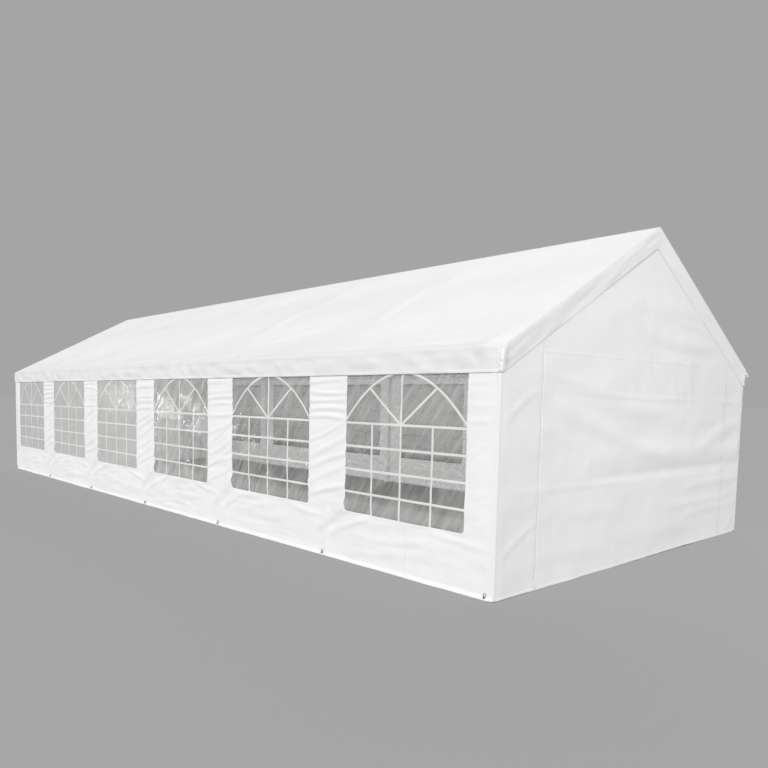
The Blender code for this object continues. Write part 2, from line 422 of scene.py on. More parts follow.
def rounded_outline():
    """The way round the roof's section at each of its corners, and their places and outward directions."""
    core_y, core_top = EAVE_Y - FOLD_R, RIDGE_Z - FOLD_R / math.cos(SLOPE_ANGLE)
    core_eave = core_top - SLOPE * core_y
    square_on = math.pi / 2 - SLOPE_ANGLE
    shares = [index / FOLD_STEPS for index in range(FOLD_STEPS + 1)]
    half = [(core_y, HEM_Z, 0.0)]
    half += [(core_y, core_eave, square_on * share) for share in shares]
    half += [(0.0, core_top, square_on + SLOPE_ANGLE * share) for share in shares]
    front = [(-y, z, -math.cos(turn), math.sin(turn)) for y, z, turn in half]
    back = [(y, z, math.cos(turn), math.sin(turn)) for y, z, turn in reversed(half[:-1])]
    outline = np.array(front + back)
    skin = outline[:, :2] + FOLD_R * outline[:, 2:]
    lengths = np.concatenate([[0], np.cumsum(np.linalg.norm(np.diff(skin, axis=0), axis=1))])
    return lengths, outline


OUTLINE_V, OUTLINE = rounded_outline()
ROOF_V = OUTLINE_V[-1]
RIDGE_V = ROOF_V / 2
EAVE_V = OUTLINE_V[1]
EAVE_FOLD_Z = OUTLINE[1, 1]
SLOPE_START = 1 + FOLD_STEPS
SLOPE_START_V, SLOPE_END_V = OUTLINE_V[SLOPE_START], OUTLINE_V[SLOPE_START + 1]
PURLIN_V = (SLOPE_START_V + SLOPE_END_V) / 2
EAVE_MIDDLE_V = (EAVE_V + SLOPE_START_V) / 2

# The long folds that show up the front slope, by x and by the way up from the eave
SLOPE_FOLDS = (
    ((3.87, 0.80), (3.83, 2.00), 0.12, 0.017, 0.04),
    ((1.75, 0.55), (1.72, 1.75), 0.14, 0.020, -0.05),
    ((-0.20, 0.75), (-0.16, 2.45), 0.13, 0.012, 0.03),
    ((-2.25, 0.90), (-2.20, 1.70), 0.10, 0.014, 0.03),
    ((-4.10, 0.70), (-4.15, 1.80), 0.12, 0.013, -0.03),
    ((4.15, 1.75), (5.40, 0.50), 0.15, 0.016, -0.04),
    ((2.10, 0.40), (3.05, 0.95), 0.07, 0.009, 0.03),
    ((0.55, 0.35), (1.40, 0.80), 0.06, 0.008, 0.02),
    ((4.55, 0.30), (5.60, 0.42), 0.05, 0.008, 0.02),
)


def roof_folds():
    """Puckers that fan out of each leg's head, with SLOPE_FOLDS. The back slope has these turned about."""
    draw = np.random.RandomState(5).uniform
    folds = []
    for turned_about in (False, True):
        half = []
        for leg in LEG_XS:
            for turn in (-1, 1):
                for _ in range(4):
                    start = (leg + turn * 0.03, SLOPE_START_V + 0.02)
                    end = (start[0] + turn * draw(0.15, 0.75), start[1] + draw(0.20, 0.7))
                    half.append((start, end, draw(0.02, 0.035), draw(0.003, 0.007), 0.0))
            for _ in range(2):
                start = (leg - draw(0.2, 0.7), SLOPE_START_V + draw(0.9, 1.3))
                end = (start[0] - draw(0.5, 0.9), start[1] + draw(0.3, 0.7))
                half.append((start, end, draw(0.07, 0.12), draw(0.004, 0.008), 0.05))
        for (x0, up0), (x1, up1), *sizes in SLOPE_FOLDS:
            half.append(((x0, SLOPE_START_V + up0), (x1, SLOPE_START_V + up1), *sizes))
        if turned_about:
            half = [((-x0, ROOF_V - v0), (-x1, ROOF_V - v1), *sizes) for (x0, v0), (x1, v1), *sizes in half]
        folds += half
    return folds


ROOF_FOLDS = roof_folds()

# How deep the roof's sag, swells and small creases are
ROOF_SAG = 0.040
ROOF_CROWN = 0.020
ROOF_SWELL = 0.0075
ROOF_PUCKER = 0.0030
ROOF_CRUMPLE = 0.0008
BAGGED_CRUMPLE = 0.0022
EAVE_LUMP, EAVE_UNEVEN = 0.0245, 0.0080
CORNER_LUMP, CORNER_UNEVEN = 0.0015, 0.0045
VALANCE_LEAST, VALANCE_SLACK, VALANCE_UNEVEN = 0.0004, 0.0015, 0.0022
VALANCE_DENT, VALANCE_DENT_LIFT = 0.0085, 0.004
FLAP_SLACK = 0.0040
FLAP_WRINKLE = 0.0032


def way_up(v):
    """The way up from the nearer hem, and a shift that gives the back half a noise of its own."""
    return np.minimum(v, ROOF_V - v), np.where(v > RIDGE_V, BACK_SHIFT, 0.0)


def off_legs(x):
    """0 at every leg and 1 half way between two."""
    return np.abs(np.sin(np.pi * ((x + HALF_LENGTH) / BAY)))


def roof_relief(x, v):
    """How far the roof sheet stands above its rafters. It sags between them and puckers near the eaves."""
    mirrored, side = way_up(v)
    across = off_legs(x)
    up_slope = mirrored - SLOPE_START_V
    half_slope = PURLIN_V - SLOPE_START_V
    down = np.sin(np.pi * np.clip(up_slope / half_slope, 0, 2)) ** 2
    on_slope = ramp(up_slope, 0.0, 0.09) * ramp(mirrored, RIDGE_V, RIDGE_V - 0.10)
    uneven = 1 + 0.5 * lattice_noise(np.floor((x + HALF_LENGTH) / BAY) + 0.37, side + 1.3 * up_slope, seed=11)
    lower = 1.15 - 0.45 * ramp(up_slope, half_slope * 0.8, half_slope * 1.2)
    sag = -ROOF_SAG * across * down * uneven * lower
    swells = ROOF_SWELL * rumple(x, v + side, (0.85, 0.55), seed=21, layers=2)
    clouds = swells * across ** 0.5 * (0.3 + 0.7 * down)
    patchy = 0.35 + 0.65 * ramp(lattice_noise(x / 0.7, side, seed=35), -0.4, 0.5)
    puckers = ROOF_PUCKER * rumple(x + 1.6 * mirrored, v + side, (0.30, 0.07), seed=31, layers=2)
    drawn = puckers * near(up_slope, 0.16, 0.24) * patchy
    pulls = folded(x, v, ROOF_FOLDS)
    crown = ROOF_CROWN * near(up_slope, 0.85, 0.42) * across ** 0.4
    bagged = ramp(lattice_noise(x / 0.9, side + 0.4, seed=38), -0.3, 0.4) * near(up_slope, 0.52, 0.30)
    crumple = (ROOF_CRUMPLE + BAGGED_CRUMPLE * bagged) * creased(x, v + side, (0.17, 0.13), seed=41)
    tight = ramp(np.abs(x), ROOF_END - 0.01, ROOF_END - 0.20)
    return on_slope * tight * (sag + crown + clouds + drawn + pulls + crumple)


def eave_relief(x, v):
    """The soft lumps where the sheet is turned down over the eave rail."""
    mirrored, side = way_up(v)
    lumps = EAVE_LUMP + EAVE_UNEVEN * rumple(x, mirrored + side, (0.24, 0.12), seed=45)
    from_fold = mirrored - EAVE_MIDDLE_V
    reach = np.where(from_fold > 0, near(from_fold, 0.0, 0.24), near(from_fold, 0.0, 0.14))
    return np.clip(lumps, 0.0, None) * reach


def valance_relief(x, v):
    """The eave valance lies against the wall, lumpy from packing, and is drawn in at each leg."""
    mirrored, side = way_up(v)
    drop = np.clip(EAVE_V - mirrored, 0, None) / EAVE_V
    uneven = VALANCE_UNEVEN * rumple(x + side, v * 0.3, (0.42, 1.0), seed=51)
    slack = VALANCE_LEAST + VALANCE_SLACK * off_legs(x) + uneven
    dents = VALANCE_DENT * rumple(x + 0.3 * mirrored + side, mirrored, (0.13, 0.12), seed=61)
    dents = np.clip(dents + VALANCE_DENT_LIFT, 0.0, None) * np.sin(np.pi * np.clip(drop, 0, 1)) ** 0.7
    corner = ramp(np.abs(x), ROOF_END - 0.02, ROOF_END - 0.30)
    return (np.clip(slack, VALANCE_LEAST, None) * drop ** 0.7 + dents) * (0.25 + 0.75 * corner)


def corner_lumps(points):
    """The cover's points, crumpled at its four corners, where two thicknesses are sewn together."""
    x, y, z = np.moveaxis(points, -1, 0)
    along_x, along_y = np.abs(x) - ROOF_END, np.abs(y) - EAVE_Y
    held = near(np.hypot(along_x, along_y), 0.0, 0.11) * ramp(z, EAVE_FOLD_Z + 0.06, EAVE_FOLD_Z - 0.02)
    place = along_x - along_y + 3.1 * np.sign(x) + 7.3 * np.sign(y)
    uneven = CORNER_UNEVEN * rumple(place, z, (0.065, 0.050), seed=93, layers=2)
    lumps = np.clip(CORNER_LUMP + uneven, 0.0, None) * held
    out_x, out_y = along_x + 0.06, along_y + 0.06
    size = np.hypot(out_x, out_y) + 1e-6
    moved_x, moved_y = np.sign(x) * lumps * out_x / size, np.sign(y) * lumps * out_y / size
    return points + np.stack([moved_x, moved_y, 0 * z], axis=-1)


def rake_stand(w):
    """How far the cover's end stands out past the gable, at w below its fold."""
    return RAKE_OVERHANG * (1 - ramp(w, 0.0, EAVE_V))


def section_at(v):
    """The roof section's place and outward direction at v."""
    return (np.interp(v, OUTLINE_V, OUTLINE[:, column]) for column in range(4))


def roof_at(u, v, lift=0.0):
    """Places on the roof cover. Past the end of the tent, u turns down round the rake."""
    y, z, out_y, out_z = section_at(v)
    size = np.hypot(out_y, out_z)
    out_y, out_z = out_y / size, out_z / size
    turn = np.clip(np.abs(u) - ROOF_FLAT_END, 0, RAKE_R * math.pi / 2) / RAKE_R
    flat = ramp(np.abs(u), ROOF_EDGE_U, ROOF_EDGE_U - 0.20)
    relief = roof_relief(u, v) + valance_relief(u, v) + eave_relief(u, v)
    stand = RAKE_R + lift + relief * flat
    below_fold = EAVE_V - np.minimum(v, ROOF_V - v)
    drawn_in = (RAKE_OVERHANG - rake_stand(below_fold)) * ramp(np.abs(u), ROOF_FLAT_END - 0.15, ROOF_FLAT_END)
    x = np.sign(u) * (np.minimum(np.abs(u), ROOF_FLAT_END) + stand * np.sin(turn) - drawn_in)
    reach = FLAP_RISE + stand * np.cos(turn)
    return corner_lumps(np.stack([x, y + reach * out_y, z + reach * out_z], axis=-1))


def flap_relief(v, w):
    """The valance along a rake. It slopes back to the gable below its fold, and its hem is rolled."""
    mirrored, side = way_up(v)
    fold = rake_stand(w)
    rolled = 1 - 0.65 * ramp(v, RIDGE_V - 0.10, RIDGE_V + 0.10)
    rolled = rolled * (0.0014 + 0.0050 * ramp(mirrored, RIDGE_V - 1.6, RIDGE_V - 0.3))
    hem = rolled * (near(w, EAVE_V - 0.024, 0.018) + 0.6 * near(w, EAVE_V - 0.070, 0.018))
    hem = hem - FLAP_TUCK * ramp(w, EAVE_V - 0.05, EAVE_V)
    off_ridge = ramp(mirrored, RIDGE_V, RIDGE_V - 0.10)
    slack = FLAP_SLACK * rumple(v + side, w * 0.4, (0.5, 1.0), seed=71)
    slack = slack * np.sin(np.pi * np.clip(w / EAVE_V, 0, 1))
    wrinkles = FLAP_WRINKLE * rumple(v + 0.5 * w, w + side, (0.26, 0.055), seed=81, layers=2)
    wrinkles = wrinkles * ramp(w, 0.0, 0.05) * ramp(w, EAVE_V, EAVE_V - 0.05)
    shape = np.maximum(fold + hem + (slack + wrinkles) * off_ridge, -FLAP_TUCK * ramp(w, 0.05, EAVE_V))
    return fold + ramp(mirrored, SLOPE_START_V, SLOPE_START_V + 0.10) * (shape - fold)


def flap_at(end, v, w, lift=0.0):
    """Places on the valance of a gable, w below the rake fold at v."""
    y, z, out_y, out_z = section_at(v)
    rise = FLAP_RISE / np.hypot(out_y, out_z)
    y, z = y + rise * out_y, z + rise * out_z
    foot_z = HEM_Z + SLOPE * np.clip(EAVE_Y - FOLD_R - np.abs(y), 0, None)
    x = end * (ROOF_END + flap_relief(v, w) + lift)
    return corner_lumps(np.stack([x, y, z - w / EAVE_V * (z - foot_z)], axis=-1))


# The stretches of the cover that are meshed more closely, and the steps between its columns and rows
END_STRETCH, END_STEP, ALONG_STEP = 0.28, 0.016, 0.048
EAVE_STRETCH, EAVE_STEP, UP_STEP = 0.42, 0.030, 0.062
VALANCE_STEP = 0.018


def make_roof_cover(material):
    """One welded sheet: both slopes and eave valances, turned down round each rake into a gable valance."""
    quarter = [ROOF_FLAT_END + RAKE_R * math.pi / 2 * index / 3 for index in range(1, 4)]
    near_end = spread([ROOF_FLAT_END - END_STRETCH, ROOF_FLAT_END], END_STEP)[1:]
    along = spread([END_STRETCH - ROOF_FLAT_END, *LEG_XS[1:-1], ROOF_FLAT_END - END_STRETCH], ALONG_STEP)
    us = np.concatenate([-np.array(quarter[::-1]), -near_end[::-1], along, near_end, quarter])
    rows_down = spread([0, EAVE_V], VALANCE_STEP)
    near_eave = spread([SLOPE_START_V, SLOPE_START_V + EAVE_STRETCH], EAVE_STEP)[1:]
    up_slope = spread([SLOPE_START_V + EAVE_STRETCH, SLOPE_END_V], UP_STEP)[1:]
    at_eave = OUTLINE_V[2:SLOPE_START + 1]
    at_ridge = OUTLINE_V[SLOPE_START + 2:SLOPE_START + 1 + FOLD_STEPS]
    half = np.concatenate([rows_down, at_eave, near_eave, up_slope, at_ridge])
    vs = np.unique(np.round(np.concatenate([half, [RIDGE_V], ROOF_V - half[::-1]]), 7))
    u, v = np.meshgrid(us, vs)
    grids = [(roof_at(u, v), u, v, False)]
    slope_vs = vs[(vs >= EAVE_V - 1e-6) & (vs <= ROOF_V - EAVE_V + 1e-6)]
    flap_v, w = np.meshgrid(slope_vs, EAVE_V - rows_down[::-1])
    for end in ENDS.values():
        grids.append((flap_at(end, flap_v, w), end * (ROOF_EDGE_U + w), flap_v, end > 0))
    mesh = mesh_of_grids("roof_sheet", grids)
    weld(mesh)
    piece = link("roof_sheet", mesh, material)
    thicken(piece, SHEET_T)
    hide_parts("roof_cover")
    return piece


# The long walls. u runs to the right as the wall is seen from outside, and v is the height.

def window_places(u):
    """The nearest window's centre, and how far u is from it in half bays."""
    centre = (np.floor((u + HALF_LENGTH) / BAY).clip(0, BAYS - 1) + 0.5) * BAY - HALF_LENGTH
    return centre, (u - centre) / (BAY / 2)


def pillar_wrinkles(leg, draw):
    """The level wrinkles high on a pillar, and the slanting ones that a window's corner pulls below."""
    ease = 0.35 if abs(leg) > HALF_LENGTH - 0.1 else 1.0
    folds = []
    height = 1.745
    while height > 1.36:
        start = (leg - draw(0.30, 0.42), height + draw(-0.03, 0.01))
        end = (leg + draw(0.30, 0.42), height + draw(-0.01, 0.03))
        size = ease * draw(0.011, 0.017)
        folds.append((start, end, draw(0.020, 0.028), size, draw(-0.02, 0.03)))
        height -= draw(0.070, 0.105)
    while height > 0.62:
        start = (leg - draw(0.24, 0.38), height - draw(0.08, 0.18))
        end = (leg + draw(0.24, 0.40), height + draw(0.06, 0.16))
        size = ease * draw(0.012, 0.020)
        folds.append((start, end, draw(0.020, 0.032), size, draw(-0.03, 0.03)))
        height -= draw(0.10, 0.17)
    return folds


def foot_folds(leg, draw):
    """The deep folds that run from a leg's foot up to the next window's lower corner."""
    start = (leg - draw(0.08, 0.14), draw(0.20, 0.25))
    end = (leg + draw(0.30, 0.36), SILL_Z + draw(0.10, 0.17))
    folds = [(start, end, 0.042, draw(0.034, 0.042), draw(0.0, 0.03))]
    folds.append(((start[0] + 0.11, start[1] - 0.03), (end[0] + 0.03, end[1] - 0.13), 0.034, -0.020, 0.02))
    folds.append(((start[0] + 0.20, start[1] + 0.00), (end[0] + 0.30, end[1] - 0.16), 0.026, 0.014, 0.02))
    start = (leg + draw(0.36, 0.42), draw(0.30, 0.36))
    end = (leg + draw(0.62, 0.75), SILL_Z + draw(-0.03, 0.03))
    folds.append((start, end, 0.026, draw(0.010, 0.016), 0.01))
    start = (leg - draw(0.55, 0.70), SILL_Z - draw(0.02, 0.05))
    end = (leg + draw(-0.10, 0.05), SILL_Z - draw(0.08, 0.14))
    folds.append((start, end, 0.026, draw(0.007, 0.011), -0.01))
    return folds


def sill_ripples(leg, draw):
    """The long shallow ripples under a window, which rise a little to the right."""
    folds = []
    for height in (0.42, 0.36, 0.29, 0.22, 0.14, 0.08):
        start = (leg + draw(0.25, 0.9), height + draw(-0.03, 0.02))
        end = (start[0] + draw(0.4, 0.9), start[1] + draw(0.00, 0.08))
        width, size = draw(0.022, 0.040), draw(0.005, 0.010)
        folds.append((start, end, width, size, draw(-0.03, 0.03)))
    return folds


@functools.lru_cache(maxsize=None)
def long_wall_folds(seed):
    folds = []
    for index, leg in enumerate(LEG_XS):
        draw = np.random.RandomState(seed + 30 + index).uniform
        folds += pillar_wrinkles(leg, draw) + foot_folds(leg, draw) + sill_ripples(leg, draw)
    return tuple(folds)


def corner_turn(from_corner):
    """How far a sheet has turned back on its way round a corner of the tent."""
    past = np.clip(CORNER_R - from_corner, 0, 0.97 * CORNER_R)
    return CORNER_R - np.sqrt(CORNER_R ** 2 - past ** 2)


def corner_columns(edge):
    """Close columns for a sheet's last stretch, where it turns round a corner."""
    return [edge - CORNER_R * (1 - math.sin(math.radians(turn))) for turn in CORNER_TURNS]


# The columns of a long wall, its rows from one height up to another, and the steps between them
WALL_COLUMN = 0.028
WALL_ROWS = (
    (GROUND_GAP, 0.045, 0.009), (0.045, SILL_Z, 0.017), (SILL_Z, HEAD_Z, 0.0125), (HEAD_Z, WALL_TOP, 0.03),
)
FILM_STEP = 0.030

# How deep the slack, waves and small creases of the walls and films are
WALL_SLACK, WALL_SWELL = 0.008, 0.0045
WALL_WAVE = 0.0038
WALL_CRUMPLE = 0.0012
HEM_WAVE = 0.004
OFF_POLE = 0.0045
FILM_WRINKLE = 0.0022
FILM_BILLOW = 0.004
FILM_GAP = 0.0004


def long_wall_relief(u, v, seed):
    """The wall is held flat at legs, eaves and ground, and is slack in between."""
    _, across = window_places(u)
    from_leg = (1 - np.abs(across)) * BAY / 2
    slack = WALL_SLACK * (1 - across ** 2) * ramp(v, 0.02, 0.30)
    swell = WALL_SWELL * rumple(u, v, (0.8, 0.5), seed, layers=2)
    drawn = folded(u, v, long_wall_folds(seed))
    crumple = WALL_CRUMPLE * creased(u, v, (0.19, 0.15), seed + 40)
    waves = WALL_WAVE * rumple(u - 0.8 * v, v, (0.30, 0.10), seed + 45, layers=2) * ramp(v, 1.20, 0.8)
    hem = HEM_WAVE * rumple(u, 0 * v, (0.33, 1.0), seed + 50, layers=2)
    hem = hem * ramp(v, 0.16, 0.0) * ramp(from_leg, 0.0, 0.15)
    off_pole = OFF_POLE * ramp(from_leg, 0.34, 0.20) * ramp(v, 0.45, 0.60)
    total = slack + swell + drawn + crumple + waves + hem + off_pole
    total *= ramp(v, 1.825, 1.72)
    total *= ramp(np.abs(u), WALL_END - 0.02, WALL_END - 0.18)
    kept = ramp(from_leg, 0.03, 0.12) * ramp(v, 0.06, 0.14)
    least = -0.0008 - 0.03 * kept
    flare = GROUND_FLARE * ramp(v, 0.040, 0.003) * ramp(np.abs(u), WALL_END - 0.01, WALL_END - 0.08)
    return np.maximum(total, least) + flare - corner_turn(WALL_END - np.abs(u))


def long_wall_surface(side, seed):
    def place(u, v, lift=0.0):
        stand = WALL_Y + long_wall_relief(u, v, seed) + lift
        return np.stack([-side * u, side * stand, v + 0 * u], axis=-1)
    return place


def in_window(u, v):
    centre, _ = window_places(u)
    return (np.abs(u - centre) < WINDOW_HALF) & (v > SILL_Z) & (v < HEAD_Z)


def make_long_wall(word, side, seed, material):
    jambs = [centre + step for centre in BAY_CENTRES for step in (-WINDOW_HALF, WINDOW_HALF)]
    turned = corner_columns(WALL_END)
    between_corners = spread([-turned[0], *jambs, turned[0]], WALL_COLUMN)
    us = np.concatenate([[-WALL_END], -np.array(turned[:0:-1]), between_corners, turned[1:], [WALL_END]])
    vs = np.concatenate([[GROUND_GAP]] + [spread([low, high], step)[1:] for low, high, step in WALL_ROWS])
    surface = long_wall_surface(side, seed)
    piece = sheet_grid(f"long_wall_{word}", us, vs, surface, material, open_at=in_window)
    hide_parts(f"side_wall_{word}")
    return piece, surface


def film_relief(u, v, seed):
    """The clear film is welded flat at its edges and carries fine slanting creases inside them."""
    centre, _ = window_places(u)
    inset = np.minimum.reduce([WINDOW_HALF - np.abs(u - centre), v - SILL_Z, HEAD_Z - v])
    slant_u, slant_v = u * 0.85 - v * 0.5, u * 0.5 + v * 0.85
    wrinkles = FILM_WRINKLE * rumple(slant_u, slant_v, (0.075, 0.5), seed, layers=2)
    billow = FILM_BILLOW * rumple(u, v, (0.5, 0.4), seed + 5, layers=2)
    return ramp(inset, 0.0, 0.10) * (wrinkles + billow)


def film_surface(wall, seed):
    def place(u, v, lift=0.0):
        return wall(u, v, film_relief(u, v, seed) - SHEET_T - FILM_GAP + lift)
    return place


def arch_height(share):
    """The height of the arch bar, a parabola, at a share of the way from a window's middle to its jamb."""
    return ARCH_SPRING_Z + (ARCH_CROWN_Z - ARCH_SPRING_Z) * (1 - share ** 2)


def glazing_paths(centre):
    """The bars of one window: upright ones, level ones, the arch and its two rays, each with its lift."""
    left, right = centre - WINDOW_HALF, centre + WINDOW_HALF
    spring = BAR_ROWS[-1]
    paths = []
    for step, top in ((-0.5, spring), (0.5, spring), (0.0, ARCH_CROWN_Z)):
        x = centre + step * WINDOW_HALF
        paths.append((line((x, SILL_Z), (x, top)), 0.0))
    paths += [(line((left, height), (right, height)), ROW_LIFT) for height in BAR_ROWS]
    ray_top = arch_height(RAY_REACH / WINDOW_HALF)
    paths += [(line((centre, spring), (centre + turn * RAY_REACH, ray_top)), RAY_LIFT) for turn in (-1, 1)]
    shares = np.linspace(-1, 1, ARCH_STEPS)
    paths.append((np.stack([centre + shares * WINDOW_HALF, arch_height(shares)], axis=1), ARCH_LIFT))
    return paths


def make_windows(word, side, seed, wall, film_material, bar_material):
    for index, centre in enumerate(BAY_CENTRES):
        number = index + 1 if side < 0 else BAYS - index
        surface = film_surface(wall, seed + 7 * index)
        us = spread([centre - WINDOW_HALF - FILM_MARGIN, centre + WINDOW_HALF + FILM_MARGIN], FILM_STEP)
        vs = spread([SILL_Z - FILM_MARGIN, HEAD_Z + FILM_MARGIN], FILM_STEP)
        film = sheet_grid(f"film_{word}_{number}", us, vs, surface, film_material, FILM_T)
        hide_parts(f"window_{word}_{number}")
        bands = [band_along(path, surface, BAR_WIDTH, BAR_T, BAR_LIFT + rise)
                 for path, rise in glazing_paths(centre)]
        bars = bands_piece(f"glazing_bars_{word}_{number}", bands, bar_material)


# The gable walls, each with a door panel between two zips. u runs to the right as seen from outside.

GABLE_FOLDS = {
    "right": (
        ((-1.75, 1.58), (0.75, 0.97), 0.085, 0.026, -0.05),
        ((-1.20, 1.09), (2.60, 1.02), 0.110, 0.036, 0.01),
        ((-1.10, 0.88), (2.55, 0.85), 0.050, -0.020, 0.01),
        ((-2.46, 0.84), (-0.10, 0.81), 0.026, 0.010, 0.01),
        ((1.15, 1.08), (2.55, 1.38), 0.090, 0.024, 0.02),
        ((0.80, 0.66), (2.55, 0.67), 0.055, 0.018, 0.02),
        ((0.45, 0.50), (2.52, 0.50), 0.050, 0.015, -0.02),
        ((0.90, 0.36), (2.52, 0.36), 0.060, 0.017, 0.02),
        ((-0.60, 0.30), (1.20, 0.20), 0.090, 0.012, 0.02),
        ((-1.82, 1.70), (1.20, 1.62), 0.024, 0.012, -0.03),
        ((-1.80, 1.80), (-0.85, 1.70), 0.050, 0.013, -0.02),
        ((-0.60, 1.56), (0.85, 1.38), 0.085, 0.020, 0.01),
        ((0.02, 2.92), (1.20, 2.45), 0.036, 0.015, -0.06),
        ((-0.60, 2.53), (1.35, 2.52), 0.095, 0.014, 0.03),
        ((-0.40, 2.33), (1.68, 2.21), 0.080, 0.015, -0.06),
        ((-0.10, 2.15), (1.75, 2.10), 0.070, -0.009, -0.03),
        ((0.55, 2.41), (1.30, 2.36), 0.030, 0.010, 0.02),
        ((1.45, 1.64), (2.50, 1.60), 0.032, 0.009, -0.02),
        ((1.75, 1.86), (2.48, 1.44), 0.040, 0.009, -0.05),
        ((-2.47, 0.32), (-1.95, 0.58), 0.034, 0.009, 0.01),
        ((-2.44, 1.42), (-2.00, 1.68), 0.034, 0.009, 0.01),
        ((-1.95, 1.38), (-1.20, 1.12), 0.070, 0.013, 0.02),
        ((-1.90, 0.64), (-0.50, 0.52), 0.080, 0.012, 0.02),
        ((-1.85, 0.32), (-0.70, 0.22), 0.070, 0.010, -0.02),
        ((2.10, 0.03), (2.48, 0.24), 0.032, 0.010, 0.02),
    ),
    "left": (
        ((-2.45, 0.20), (-0.70, 0.74), 0.080, 0.020, 0.06),
        ((-2.50, 0.88), (1.10, 1.00), 0.100, 0.030, -0.05),
        ((-2.30, 0.68), (1.00, 0.80), 0.055, -0.018, -0.05),
        ((-2.40, 1.55), (-1.00, 1.18), 0.055, 0.015, -0.04),
        ((-1.60, 2.18), (0.50, 2.50), 0.085, 0.024, -0.06),
        ((-1.40, 2.36), (0.40, 2.68), 0.070, 0.018, -0.04),
        ((2.00, 1.64), (-0.30, 1.12), 0.085, 0.024, 0.04),
        ((-1.20, 1.64), (1.80, 1.70), 0.028, 0.012, 0.03),
        ((2.48, 0.18), (1.00, 0.54), 0.055, 0.015, -0.04),
        ((2.48, 0.60), (0.80, 0.66), 0.045, 0.013, 0.03),
        ((2.45, 1.35), (1.30, 1.74), 0.050, 0.013, 0.03),
        ((-0.80, 0.22), (1.20, 0.34), 0.070, 0.012, 0.03),
    ),
}

GABLE_COLUMN, GABLE_ROW = 0.026, 0.020
DOOR_COLUMN, DOOR_ROW = 0.032, 0.022
PAST_RAKE = 0.03

# How much of their height the gable's folds keep on the taut sheet, and how deep its slack and creases are
GABLE_FOLD_SHARE = 0.57
GABLE_SLACK, GABLE_SWELL = 0.012, 0.0085
DOOR_GATHER = 0.0040
ZIP_GATHER = 0.0012
SEAM_DIP = 0.0004
GABLE_CRUMPLE = 0.0009


def rake_z(u):
    """Height of a gable's top edge, under the roof's fold."""
    return RIDGE_Z - FOLD_R / math.cos(SLOPE_ANGLE) - SLOPE * np.abs(u)


GABLE_PEAK_Z = float(rake_z(0.0))


def flap_clearance(below_rake):
    """How much further the gable may stand out, at a distance below the rake, without touching the flap."""
    return 0.05 * ramp(below_rake, EAVE_V, EAVE_V + 0.32)


def gable_relief(u, v, word, seed):
    """The gable is drawn from its corners, and gathered a little over the door and along the zips."""
    below_rake = rake_z(u) - v
    free = ramp(below_rake, EAVE_V + 0.010, EAVE_V + 0.24)
    from_corner = GABLE_HALF - np.abs(u)
    slack = GABLE_SLACK * np.cos(np.pi / 2 * u / GABLE_HALF)
    slack = slack * ramp(v, 0.0, 0.5) * ramp(below_rake, EAVE_V, 1.1)
    swell = GABLE_SWELL * rumple(u, v, (0.95, 0.50), seed) * (0.35 + 0.65 * ramp(below_rake, EAVE_V, 0.8))
    over_door = ramp(v, 1.52, 1.76) * ramp(v, 2.03, 1.95) * ramp(u, -0.9, 0.4) * ramp(u, 1.75, 0.9)
    gathers = DOOR_GATHER * rumple(u + 0.5 * v, v, (0.10, 0.40), seed + 10, layers=2) * over_door
    seam = -SEAM_DIP * near(v, DOOR_TOP - 0.012, 0.016)
    zips = ZIP_GATHER * rumple(u, v, (0.4, 0.09), seed + 20, layers=2) * near(np.abs(u), DOOR_HALF, 0.11)
    folds = GABLE_FOLD_SHARE * folded(u, v, GABLE_FOLDS[word])
    crumple = GABLE_CRUMPLE * creased(u, v, (0.21, 0.16), seed + 40)
    hem = HEM_WAVE * rumple(u, 0 * v, (0.45, 1.0), seed + 50, layers=2)
    hem = hem * ramp(v, 0.15, 0.0) * ramp(from_corner, 0.0, 0.2)
    total = slack + swell + gathers + seam + zips + folds + crumple + hem
    total = total * (0.10 + 0.90 * free) * ramp(from_corner, 0.02, 0.11)
    least = -0.0012 - 0.045 * free * ramp(from_corner, 0.08, 0.20)
    most = 0.0006 + flap_clearance(below_rake)
    tucked = WRAP_CLEARANCE * ramp(from_corner, 0.045, 0.028)
    return np.clip(total, least, most) - corner_turn(from_corner) - tucked


def gable_surface(word, seed):
    end = ENDS[word]

    def place(u, v, lift=0.0):
        stand = GABLE_X + gable_relief(u, v, word, seed) + lift
        return np.stack([end * stand, end * u, v + 0 * u], axis=-1)
    return place


def past_gable(u, v):
    """The doorway, and what lies beyond the rakes."""
    in_door = (np.abs(u) < DOOR_HALF) & (v < DOOR_TOP)
    return in_door | (v > rake_z(np.abs(u)) + PAST_RAKE)


def make_gable(word, seed, material):
    surface = gable_surface(word, seed)
    turned = corner_columns(GABLE_HALF)
    us = spread([-turned[0], -DOOR_HALF, 0.0, DOOR_HALF, turned[0]], GABLE_COLUMN)
    us = np.concatenate([-np.array(turned[:0:-1]), us, turned[1:]])
    vs = spread([GROUND_GAP, DOOR_TOP, GABLE_PEAK_Z], GABLE_ROW)
    slopes = [(Vector((0, 0, GABLE_PEAK_Z)), Vector((0, side * SLOPE, 1))) for side in SIDES.values()]
    gable = sheet_grid(f"gable_sheet_{word}", us, vs, surface, material,
                       open_at=past_gable, cuts=slopes)
    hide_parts(f"gable_wall_{word}")
    us = spread([-DOOR_HALF + DOOR_GAP, 0.0, DOOR_HALF - DOOR_GAP], DOOR_COLUMN)
    vs = spread([GROUND_GAP, DOOR_TOP - DOOR_GAP], DOOR_ROW)
    door = sheet_grid(f"door_sheet_{word}", us, vs, surface, material)
    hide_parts(f"door_panel_{word}")
    return gable, door, surface


# Hems, seams and zips

